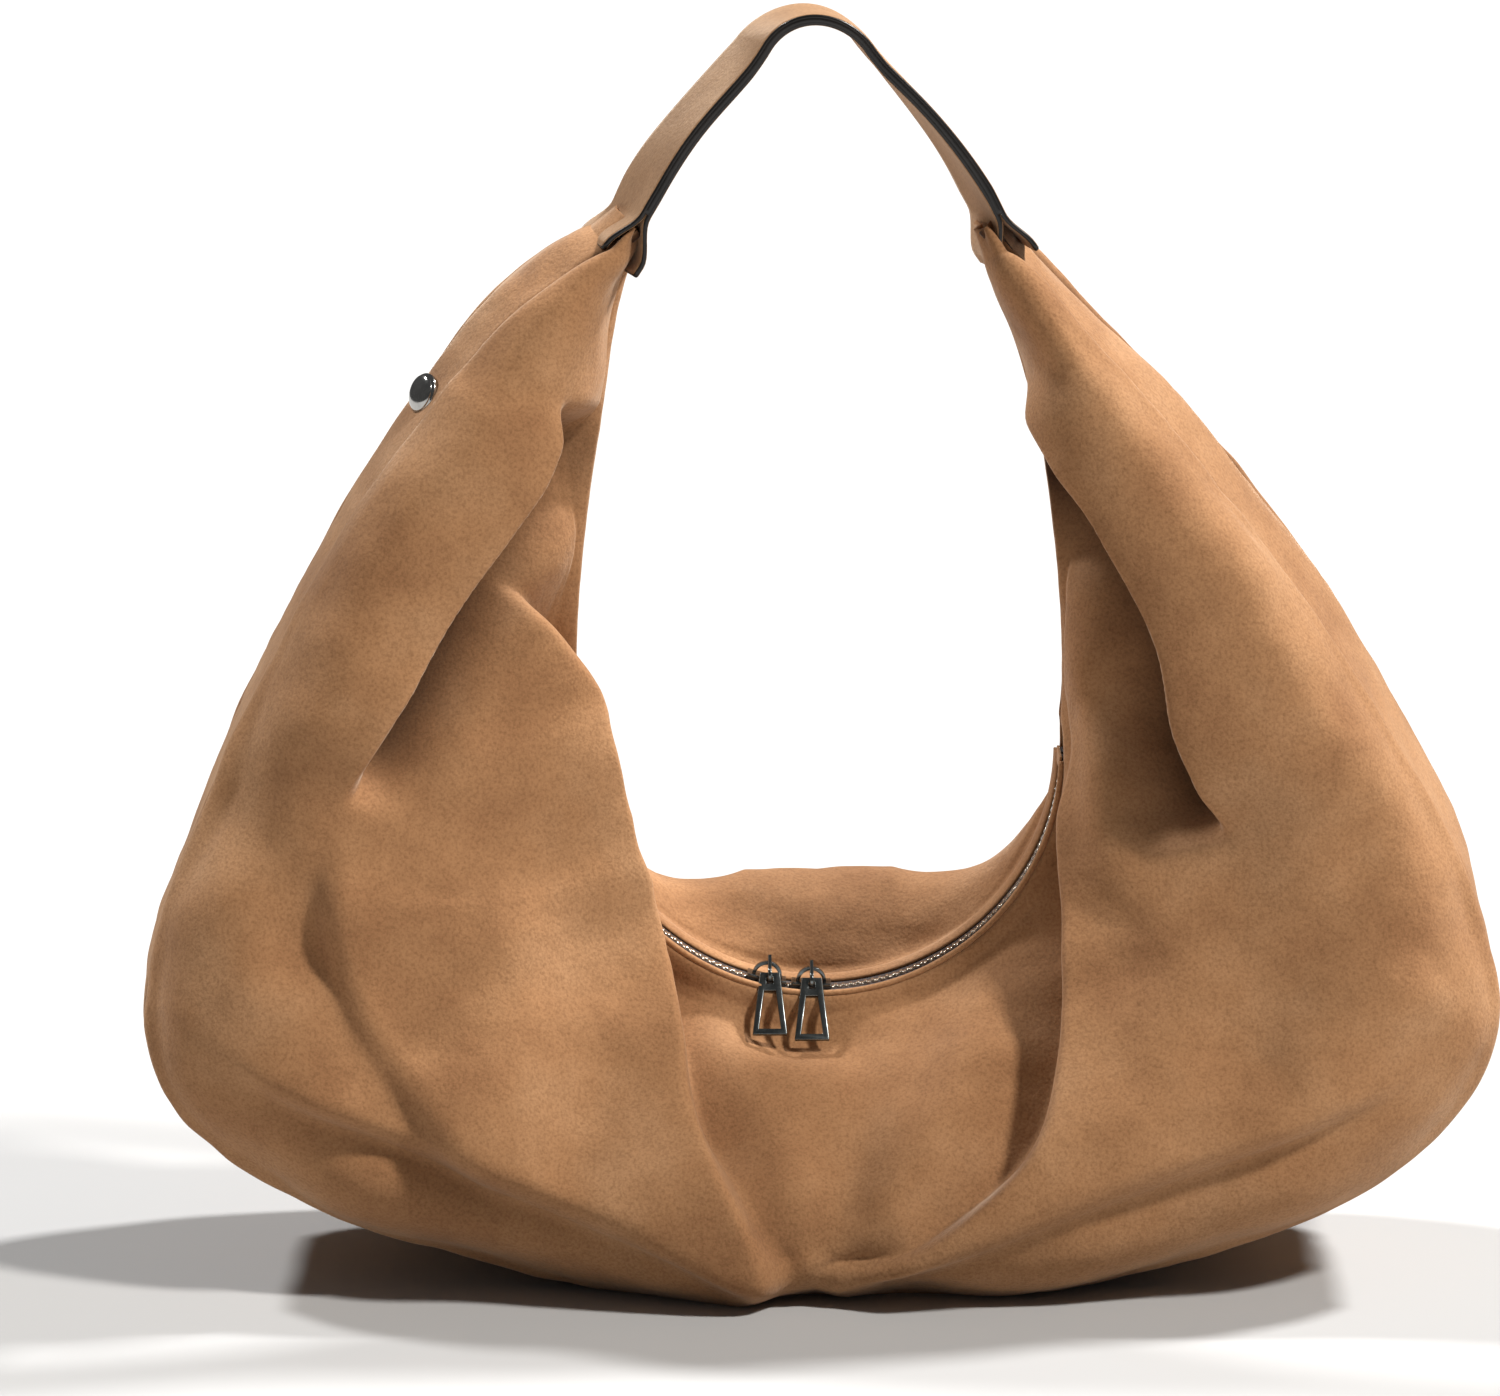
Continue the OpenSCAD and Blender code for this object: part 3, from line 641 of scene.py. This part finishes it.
# left horn: the front layer laps over a pleat, and a second ridge runs down the opening into the centre
cloth.fold([(-106, 246), (-97, 228), (-91, 206), (-88, 184), (-82, 152), (-72, 128), (-59, 107), (-49, 82), (-42, 58),
            (-28, 33), (-9, 7)], -1, 15, 10, 32, 30, 15,
           ((0, 0.5), (0.15, 1), (0.6, 1), (0.85, 0.7), (1, 0.45)), (0.08, 0.05), 4.0,
           ((0, 0), (0.1, 0.3), (0.22, 0.75), (0.36, 0.95), (0.47, 0.75), (0.57, 0.25), (0.7, 0.08), (1, 0.0)))
# right: the ridge beside the centre pouch, and the valley up the horn
cloth.fold([(83, 190), (86, 160), (89, 128), (88, 103), (85, 80), (77, 55), (60, 38), (30, 20), (-4, 8)],
           1, 12, 8, 30, 22, 4,
           ((0, 0.4), (0.3, 1), (0.6, 1), (0.85, 0.6), (1, 0.45)), (0.15, 0.05), 4.0)
cloth.ridge([(84, 268), (90, 235), (95, 205), (101, 175), (106, 145), (108, 120)], 9, 9, fade=(0.2, 0.35))
# the body swells over a soft crease that runs from the middle of the bottom to both sides
cloth.fold([(-12, 10), (-75, 32), (-133, 56), (-184, 76), (-212, 94)], -1, 7, 4, 26, 14, 2, fade=(0.12, 0.3), edge=6)
cloth.fold([(10, 10), (61, 27), (112, 46), (163, 64), (212, 84)], 1, 7, 4, 26, 14, 2, fade=(0.12, 0.3), edge=6)
# soft folds over the centre pouch and the bilges
for points, height, width in (
    ([(-46, 104), (-30, 78), (-10, 44), (-4, 20)], 3.0, 10),
    ([(60, 100), (48, 72), (30, 44), (8, 20)], 3.4, 11),
    ([(10, 92), (14, 60), (6, 26)], -2.2, 9),
    ([(-66, 84), (-80, 62), (-90, 40)], -2.6, 12),
    ([(-100, 150), (-112, 110), (-110, 70), (-84, 36)], 5, 20),
    ([(-196, 190), (-182, 140), (-150, 96), (-110, 70)], -3.5, 15),
    ([(-206, 120), (-176, 104), (-140, 96)], 3.0, 14),
    ([(112, 160), (120, 120), (112, 80), (84, 46)], 5, 18),
    ([(190, 180), (176, 140), (150, 100), (120, 72)], -3.5, 15),
    ([(208, 120), (186, 98), (150, 80)], 3.0, 13),
    ([(-122, 296), (-150, 250), (-168, 205)], 2.5, 12),
    ([(120, 280), (146, 240), (168, 196)], 2.5, 12),
):
    cloth.ridge(points, height, width)
# the two deep folds: a front layer laps over a pocket that begins at the opening's edge
cloth.fold([(-85, 305), (-94, 285), (-106, 265), (-129, 229), (-148, 196), (-161, 168)], -1, 9, 30, 34, 18, 4,
           ((0, 0.5), (0.2, 1), (0.7, 1), (1, 0.4)), (0.10, 0.16), 2.4, sink=1.0)
cloth.fold([(70, 312), (78, 296), (100, 260), (117, 226), (125, 190), (137, 156)], 1, 8, 30, 28, 20, 4,
           ((0, 0.6), (0.2, 1), (0.75, 1), (1, 0.7)), (0.10, 0.12), 2.6, sink=1.0)
# a soft valley goes on from the left pocket's closed end to the bottom
cloth.fold([(-160, 160), (-166, 138), (-160, 110), (-146, 84), (-118, 50), (-95, 34)], 1, 5, 5, 26, 18, 2,
           ((0, 0.6), (0.2, 1), (0.7, 1), (1, 0.4)), (0.15, 0.2), 7)
hem_run = np.linalg.norm(front - front[:, -1:], axis=-1)
# a shallow seat for the pull tabs under the zip
tab_seat = np.exp(-((front[..., 0] + 9) / 24) ** 2) * np.exp(-((hem_run - 15) / 11) ** 2)
cloth.high -= 6.0 * tab_seat * (front[..., 2] > 40)
front_top, front_n, front_high, front_painted_shade = cloth_panel(front, cloth, t)
front_panel = shell("front_panel_skin", front_top, under_ply(front_top, front_n), SUEDE_MAT, front_painted_shade)
place_on(front_panel, "bag", "suede", "front_panel")

# ---------------------------------------------------------------- back panel
t, back = panel_base(1, 420, 150, False)
cloth = Cloth(back)
cloth.fold([(90, 262), (104, 236), (122, 206), (140, 172), (152, 140)], 1, 5, 9, 30, 16, 5, fade=(0.14, 0.2))
cloth.fold([(-92, 250), (-106, 222), (-122, 190), (-132, 158)], -1, 5, 8, 28, 14, 4, fade=(0.14, 0.25))
cloth.ridge([(86, 180), (92, 140), (84, 96), (52, 52), (14, 20)], 6, 18)
cloth.ridge([(-86, 180), (-94, 136), (-84, 92), (-50, 50), (-12, 20)], 6, 17)
cloth.fold([(6, 10), (70, 24), (130, 44), (184, 66), (212, 84)], 1, 5, 3, 26, 12, 2, fade=(0.12, 0.3), edge=3.5)
cloth.fold([(-6, 10), (-66, 22), (-126, 42), (-180, 62), (-212, 80)], -1, 5, 3, 26, 12, 2, fade=(0.12, 0.3), edge=3.5)
for points, height, width in (
    ([(-40, 110), (-20, 74), (-6, 34)], 3, 14),
    ([(50, 112), (34, 76), (10, 34)], -2.5, 12),
    ([(-190, 170), (-160, 120), (-120, 84)], -3, 15),
    ([(186, 176), (158, 124), (122, 88)], -3, 15),
    ([(-120, 290), (-150, 246), (-172, 196)], 2.5, 12),
    ([(120, 290), (152, 240), (172, 190)], 2.5, 12),
):
    cloth.ridge(points, height, width)
back_top, back_n, back_high, back_painted_shade = cloth_panel(back, cloth, t)
back_under = under_ply(back_top, back_n)
for g in (back_top, back_under):
    g[..., 1] *= -1
back_panel = shell("back_panel_skin", back_top, back_under, SUEDE_MAT, back_painted_shade)
place_on(back_panel, "bag", "suede", "back_panel")

# ---------------------------------------------------------------- gussets and base
def gusset(name, t0, t1, nt, node, crown_fade):
    """A strip between the two panels' seams, crowned across its width."""
    t = np.linspace(t0, t1, nt)
    o, e = outline(t)
    line = np.gradient(o, axis=0)
    line /= np.linalg.norm(line, axis=-1, keepdims=True)
    out = np.stack([line[:, 1], -line[:, 0]], -1)
    out *= np.sign((out * -e).sum(-1, keepdims=True))
    v = np.linspace(-1, 1, 41)
    hg = half_gusset(t) * tip_shrink(t) - 0.05
    crown = crown_fade(t)
    edge = (1 - np.abs(v)) * hg[:, None]
    groove = 2.2 * np.exp(-(edge / 1.7) ** 2) * np.maximum(crown, 0.35)[:, None]
    high = crown[:, None] * 1.2 * (1 - v ** 4)[None] - groove
    inset = seam_inset(t)[:, None] * ease((-v[None] + 0.15) / 1.15)
    p = np.zeros((nt, len(v), 3))
    p[..., 0] = o[:, None, 0] + high * out[:, None, 0] + inset * e[:, None, 0]
    p[..., 2] = o[:, None, 1] + high * out[:, None, 1] + inset * e[:, None, 1]
    p[..., 1] = v[None] * hg[:, None]
    bump = 0.12 * waves(p, 16, 21) * crown[:, None] * (1 - v ** 6)[None]
    bump += 0.5 * waves(p, 70, 22) * crown[:, None] * (1 - v ** 4)[None]
    p[..., 0] += bump * out[:, None, 0]
    p[..., 2] += bump * out[:, None, 1]
    p[..., 2] = np.maximum(p[..., 2], 0.0)
    under = p.copy()
    under[..., 0] -= SUEDE * out[:, None, 0]
    under[..., 2] -= SUEDE * out[:, None, 1]
    # painted shade along the strip's two seams
    obj = shell(name, p, under, SUEDE_MAT, 0.95 * np.exp(-(edge / 2.0) ** 2))
    place_on(obj, "bag", "suede", node)


def side_crown(t):
    return ease((np.abs(t) - 0.3) / 0.15)


def base_crown(t):
    return ease((np.abs(t) - 0.22) / 0.23) * 0.7


gusset("gusset_left_skin", -REACH, -0.352, 300, "gusset_left", side_crown)
gusset("gusset_right_skin", 0.352, REACH, 300, "gusset_right", side_crown)
gusset("base_panel_skin", -0.35, 0.35, 240, "base_panel", base_crown)


# ---------------------------------------------------------------- lining and inner pocket, inside the folds
def lining(node, grid, n, high, depth, rows, cols, mirror):
    g = grid[rows, cols]
    d = np.minimum(high[rows, cols], 0) - depth
    top = g + d[..., None] * n[rows, cols]
    top = settle(top, 2)
    limit = -1.0
    top[..., 1] = np.minimum(top[..., 1], limit)
    under = top - LINING * n[rows, cols]
    under[..., 1] = np.minimum(under[..., 1], limit + LINING)
    if mirror:
        top[..., 1] *= -1
        under[..., 1] *= -1
    place_on(shell(node + "_skin", top, under, LINING_MAT), "bag", "lining", node)


lining("lining_front", front, front_n, front_high, 3.2, slice(70, -70, 4), slice(10, -10, 4), False)
lining("lining_back", back, back_n, back_high, 3.2, slice(56, -56, 4), slice(8, -8, 4), True)
pocket = np.where(np.abs(t) < 0.34)[0]
pocket_rows = slice(int(pocket[0]), int(pocket[-1]) + 1, 4)
lining("inner_pocket", back, back_n, back_high, 4.6, pocket_rows, slice(24, 92, 3), True)


# ---------------------------------------------------------------- bands that follow the zip's curve
def band(node, rows, half_angle, count, material, slot):
    """A ring of (distance from the zip's line towards its centre, y) points swept round the zip's curve."""
    a = np.radians(np.linspace(-half_angle, half_angle, count))
    rows = np.asarray(rows, float)
    r = ZIP_R - rows[:, 0]
    x = r[None] * np.sin(a)[:, None]
    z = ZIP_Z - r[None] * np.cos(a)[:, None]
    y = np.repeat(rows[None, :, 1], count, 0)
    p = np.stack([x, y, z], -1)
    obj = make(node + "_skin", p.reshape(-1, 3), tube_faces(count, len(rows)), material)
    fix_normals(obj)
    place_on(obj, "bag", slot, node)


for side, node in ((-1, "zip_tape_front"), (1, "zip_tape_back")):
    ys = np.linspace(1.9, 10.9, 19)
    ribs = 0.4 + 0.07 * np.cos(2 * np.pi * (ys - 1.9) / 1.8)
    ribs[0] = 0.75
    ribs[1] = 0.8
    section = [(h, side * y) for h, y in zip(ribs, ys)] + [(-0.4, side * y) for y in ys[::-1]]
    band(node, section, 89.5, 200, TAPE_MAT, "zip_tape")

for side, node, width in ((-1, "facing_front", 2.4), (1, "facing_back", 6.5)):
    inner_y = 11.2 - width * 0.55
    a = np.linspace(0, 2 * np.pi, 14, endpoint=False)
    slope = 1.1 if side > 0 else 0
    heights = [1.0 + 1.05 * math.sin(k) + slope * (0.5 + 0.5 * math.cos(k)) for k in a]
    section = [(h, side * (inner_y + width / 2 + width / 2 * math.cos(k))) for h, k in zip(heights, a)]
    band(node, section, 89, 180, SUEDE_MAT, "suede")


# ---------------------------------------------------------------- teeth
def rounded_box(lx, ly, lz, bevel, segments=2):
    bm = bmesh.new()
    bmesh.ops.create_cube(bm, size=1, matrix=Matrix.Diagonal((lx, ly, lz, 1)))
    bmesh.ops.bevel(bm, geom=list(bm.edges), offset=bevel, segments=segments, profile=0.6, affect="EDGES")
    v = np.array([list(q.co) for q in bm.verts])
    f = [[q.index for q in face.verts] for face in bm.faces]
    bm.free()
    return v, f


TOOTH_STEP, TEETH_ANGLE = 1.78, 168


def teeth(side, node):
    """One row of teeth along the zip's curve; the two rows stand half a step apart."""
    v, f = rounded_box(1.25, 3.0, 2.6, 0.35)
    verts, faces = [], []
    for k in range(int(TEETH_ANGLE / TOOTH_STEP)):
        a = math.radians(-TEETH_ANGLE / 2 + (k + (0.5 if side > 0 else 0)) * TOOTH_STEP)
        c, q = math.cos(a), math.sin(a)
        local = v.copy()
        local[:, 1] += side
        local[:, 0] *= 1 - 0.14 * side * local[:, 1] / 3
        r = ZIP_R - local[:, 2]
        x = r * q + local[:, 0] * c
        z = ZIP_Z - r * c + local[:, 0] * q
        faces += [[w + k * len(v) for w in face] for face in f]
        verts.append(np.stack([x, local[:, 1], z], -1))
    place_on(make(node + "_skin", np.concatenate(verts), faces, NICKEL_MAT), "bag", "nickel", node)


teeth(-1, "zip_teeth_front")
teeth(1, "zip_teeth_back")


# ---------------------------------------------------------------- hardware: the CAD shapes with rounded edges
def rounded_copy(node, material, bevel, body, slot):
    mesh = frame["nodes"][node].data.copy()
    mesh.materials.clear()
    mesh.materials.append(material)
    obj = bpy.data.objects.new(node + "_skin", mesh)
    scene.collection.objects.link(obj)
    bm = bmesh.new()
    bm.from_mesh(mesh)
    bmesh.ops.remove_doubles(bm, verts=bm.verts, dist=1e-6)
    bmesh.ops.dissolve_limit(bm, angle_limit=math.radians(1), verts=bm.verts, edges=bm.edges)
    sharp = [e for e in bm.edges if len(e.link_faces) == 2 and e.calc_face_angle(0) > math.radians(30)]
    bmesh.ops.bevel(bm, geom=sharp, offset=bevel * MM, segments=3, profile=0.5, affect="EDGES", clamp_overlap=True)
    for face in bm.faces:
        face.smooth = True
    bm.to_mesh(mesh)
    bm.free()
    mesh.set_sharp_from_angle(angle=math.radians(32))
    if node.startswith(("anchor", "stud")):
        co = np.zeros(len(mesh.vertices) * 3, np.float32)
        mesh.vertices.foreach_get("co", co)
        mesh.vertices.foreach_set("co", (lean(co.reshape(-1, 3) / MM) * MM).astype(np.float32).ravel())
    place_on(obj, body, slot, node)
    return obj


def hang(obj, joint, degrees):
    """Turns a pull down about its own hinge until it rests on the cloth."""
    at = Vector(joint["pos_m"])
    turn = Matrix.Translation(at) @ Matrix.Rotation(math.radians(degrees), 4, "X") @ Matrix.Translation(-at)
    obj.data.transform(turn)
    obj.data.update()


for side in ("left", "right"):
    rounded_copy("slider_" + side, GUN_MAT, 0.35, "slider_" + side, "gunmetal")
    rounded_copy("bridge_" + side, GUN_MAT, 0.3, "slider_" + side, "gunmetal")
    rounded_copy("link_" + side, GUN_MAT, 0.3, "link_" + side, "gunmetal")
    tab = rounded_copy("tab_" + side, GUN_MAT, 0.35, "tab_" + side, "gunmetal")
    hinge = [j for j in frame["joints"] if j["name"] == "tab_%s_swing" % side][0]
    hang(tab, hinge, 19)
rounded_copy("zip_stops", NICKEL_MAT, 0.25, "bag", "nickel")
rounded_copy("stud_post", STUD_MAT, 0.1, "bag", "nickel")
rounded_copy("stud_washer", NICKEL_MAT, 0.15, "bag", "nickel")
rounded_copy("zip_end_tabs", SUEDE_MAT, 0.4, "bag", "suede")
rounded_copy("anchor_left", WEB_MAT, 0.3, "bag", "webbing")
rounded_copy("anchor_right", WEB_MAT, 0.3, "bag", "webbing")


# ---------------------------------------------------------------- stud: a domed head with a rolled rim
def lathe(name, profile, place, normal, material, turns=64):
    """A closed round solid from (radius, height) points, the last of which is its top's centre."""
    a = np.linspace(0, 2 * np.pi, turns, endpoint=False)
    rings = [np.stack([r * np.cos(a), r * np.sin(a), np.full(turns, h)], -1) for r, h in profile[:-1]]
    verts = np.concatenate(rings + [np.array([[0, 0, profile[-1][1]]])])
    n = len(rings)
    i = np.arange(n * turns).reshape(n, turns)
    j = np.roll(i, -1, axis=1)
    faces = np.stack([i[:-1], j[:-1], j[1:], i[1:]], -1).reshape(-1, 4).tolist()
    faces += [[int(i[-1, k]), int(j[-1, k]), n * turns] for k in range(turns)]
    faces.append([int(k) for k in i[0][::-1]])
    rotation = np.array(Vector(normal).to_track_quat("Z", "Y").to_matrix())
    obj = make(name, verts @ rotation.T + np.asarray(place), faces, material)
    fix_normals(obj)
    return obj


STUD_T = np.linspace(-0.845, -0.805, 41)
stud_line, stud_in = outline(STUD_T)
stud_out = -stud_in[20]
stud_normal = np.array([stud_out[0] * 0.86, -0.5, stud_out[1] * 0.86])
stud_normal /= np.linalg.norm(stud_normal)
stud_place = np.array([stud_line[20, 0], -9.0, stud_line[20, 1]]) - 0.2 * stud_normal
dome = [(7.0, -1.6), (7.3, -0.6), (7.3, 0.3), (7.05, 0.75), (6.6, 1.0)]
dome += [(6.6 * math.cos(k), 1.0 + 2.3 * math.sin(k)) for k in np.linspace(0.12, math.pi / 2, 12)]
stud = lathe("stud_cap_skin", dome, stud_place, stud_normal, STUD_MAT)
place_on(stud, "bag", "nickel", "stud_cap")


# ---------------------------------------------------------------- strap
def strap_path(count_leg=60, count_bend=60):
    """Centre line from the right lap to the left: points, outward directions, distance past the tips, and side."""
    r, centre = ARCH_R, APEX_Z + STRAP_R - ARCH_R
    leg = math.atan2(centre - TIP_Z, TIP_X) + math.asin(r / math.hypot(TIP_X, centre - TIP_Z))
    leg_out, leg_down = np.array([math.sin(leg), math.cos(leg)]), np.array([math.cos(leg), -math.sin(leg)])
    top = r * leg_out + np.array([0, centre])
    leg_len = np.linalg.norm(TIP - top)
    w = np.linspace(16, -leg_len, count_leg)
    bow = 3.6 * np.sin(np.pi * np.clip(-w / leg_len, 0, 1)) ** 1.5
    right = TIP + w[:, None] * leg_down + bow[:, None] * leg_out
    a = np.linspace(leg, -leg, count_bend)[1:-1]
    bend = np.stack([r * np.sin(a), centre + r * np.cos(a)], -1)
    bend_out = np.stack([np.sin(a), np.cos(a)], -1)
    left = right[::-1] * [-1, 1]
    p = np.concatenate([right, bend, left])
    right_out = np.repeat(leg_out[None], len(right), 0)
    out = np.concatenate([right_out, bend_out, right_out * [-1, 1]])
    past = np.concatenate([w, np.full(len(bend), -leg_len), w[::-1]])
    sign = np.concatenate([np.ones(len(right)), np.zeros(len(bend)), -np.ones(len(left))])
    return p, out, past, sign


def strap_ply(name, lap_end, far, over, edges, *nodes):
    """One ply: it reaches from the strap's middle line to far, and over is how far it stands off each horn."""
    p, out, past, sign = strap_path()
    keep = past <= lap_end
    p, out, past, sign = p[keep], out[keep], past[keep], sign[keep]
    lift = (np.where(sign > 0, over[0], over[1]) - 0.5 * far) * ease((past + 14) / 15)
    v = np.linspace(-1, 1, 21)
    half = STRAP_W / 2
    grids = []
    for d in (0.0, far):
        line = p + (d + lift)[:, None] * out
        g = np.zeros((len(line), len(v), 3))
        g[..., 0] = line[:, None, 0]
        g[..., 2] = line[:, None, 1]
        g[..., 1] = v[None] * half
        soft = 0.35 * waves(g, 55, 31)
        g[..., 0] += soft * out[:, None, 0]
        g[..., 2] += soft * out[:, None, 1]
        # the strap is a little turned, so its front edge lies further to the right
        run = np.concatenate([[0], np.cumsum(np.linalg.norm(np.diff(line, axis=0), axis=1))])
        twist = np.interp(run / run[-1], [0, 0.12, 0.36, 0.5, 0.64, 0.88, 1], [0.2, 0.24, 0.08, 0.16, 0.26, 0.28, 0.22])
        g[..., 0] += -g[..., 1] * twist[:, None]
        grids.append(g)
    under, top = grids
    obj = shell(name, top, under, SUEDE_STRAP)
    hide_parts(*nodes)
    # painted edges, front and back, and across the two cut ends
    parts = []
    for k in (0, -1):
        a, b = top[:, k], under[:, k]
        centre = (a + b) / 2
        ring = []
        for q in np.linspace(0, 2 * np.pi, 10, endpoint=False):
            c = centre + (a - b) / 2 * 0.9 * math.cos(q)
            c[:, 1] = v[k] * (half - 0.15 + 0.7 * math.copysign(abs(math.sin(q)) ** 0.5, math.sin(q)))
            ring.append(c)
        parts.append(np.stack(ring, 1))
        if far < 0:
            continue
        # above the horns one bead of paint closes the two plies' edges
        joined = np.where(past < -13)[0]
        middle = p[joined] + centre[joined][:, [0, 2]] - (p + 0.5 * far * out)[joined]
        ring = []
        for q in np.linspace(0, 2 * np.pi, 12, endpoint=False):
            c = np.zeros((len(joined), 3))
            c[:, [0, 2]] = middle + 1.3 * math.cos(q) * out[joined]
            c[:, 1] = v[k] * (half - 0.1 + 0.75 * math.copysign(abs(math.sin(q)) ** 0.7, math.sin(q)))
            ring.append(c)
        parts.append(np.stack(ring, 1))
    for k, side in ((0, 1), (-1, -1)):
        a, b = top[k], under[k]
        down = np.array([LEG_DOWN[0] * side, 0, LEG_DOWN[1]])
        ring = []
        for q in np.linspace(0, 2 * np.pi, 10, endpoint=False):
            ring.append((a + b) / 2 + (a - b) / 2 * 0.9 * math.cos(q) + down * (0.75 * math.sin(q) - 0.1))
        parts.append(np.stack(ring, 1))
    verts, faces, base = [], [], 0
    for g in parts:
        faces += tube_faces(*g.shape[:2], base)
        verts.append(g.reshape(-1, 3))
        base += len(verts[-1])
    paint = make(edges, np.concatenate(verts), faces, EDGE_MAT)
    fix_normals(paint)
    for o in (obj, paint):
        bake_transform(o)
    return paint


outer_edges = strap_ply("strap_outer_skin", 3, 2.0, (5.6, 6.6), "strap_outer_edges", "strap_outer")
inner_edges = strap_ply("strap_inner_skin", 5, -2.0, (-7.6, -7.8), "strap_inner_edges", "strap_inner")
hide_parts("strap_edge_front", "strap_end_left", "strap_end_right")
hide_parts("strap_edge_back", "strap_core")

# ---------------------------------------------------------------- floor, light and world
bpy.ops.mesh.primitive_plane_add(size=14, location=(0, 0, 0))
floor = bpy.context.object
floor.name = "floor"
floor.data.materials.append(floor_material())


def sun(name, azimuth, elevation, floor_share, spread, tint=(1, 1, 1)):
    """A sun from an azimuth (0 in front, 90 to the right), as strong as the light that it gives the floor."""
    data = bpy.data.lights.new(name, "SUN")
    data.angle = math.radians(spread)
    data.color = tint
    data.energy = floor_share * math.pi / math.sin(math.radians(elevation))
    obj = bpy.data.objects.new(name, data)
    scene.collection.objects.link(obj)
    az, el = math.radians(azimuth), math.radians(elevation)
    direction = Vector((math.sin(az) * math.cos(el), -math.cos(az) * math.cos(el), math.sin(el)))
    obj.rotation_euler = direction.to_track_quat("Z", "Y").to_euler()


sun("key", 60, 50, 0.78, 7, (1.0, 0.975, 0.94))
sun("back_left", -126, 52, 0.65, 6)
sun("back_right", 120, 52, 1.0, 6)
world = bpy.data.worlds.new("world")
scene.world = world
world.use_nodes = True
world.node_tree.nodes["Background"].inputs["Color"].default_value = (1, 1, 1, 1)
world.node_tree.nodes["Background"].inputs["Strength"].default_value = 0.10
scene.view_settings.view_transform = "Standard"
scene.view_settings.look = "None"
scene.view_settings.exposure = 0.0
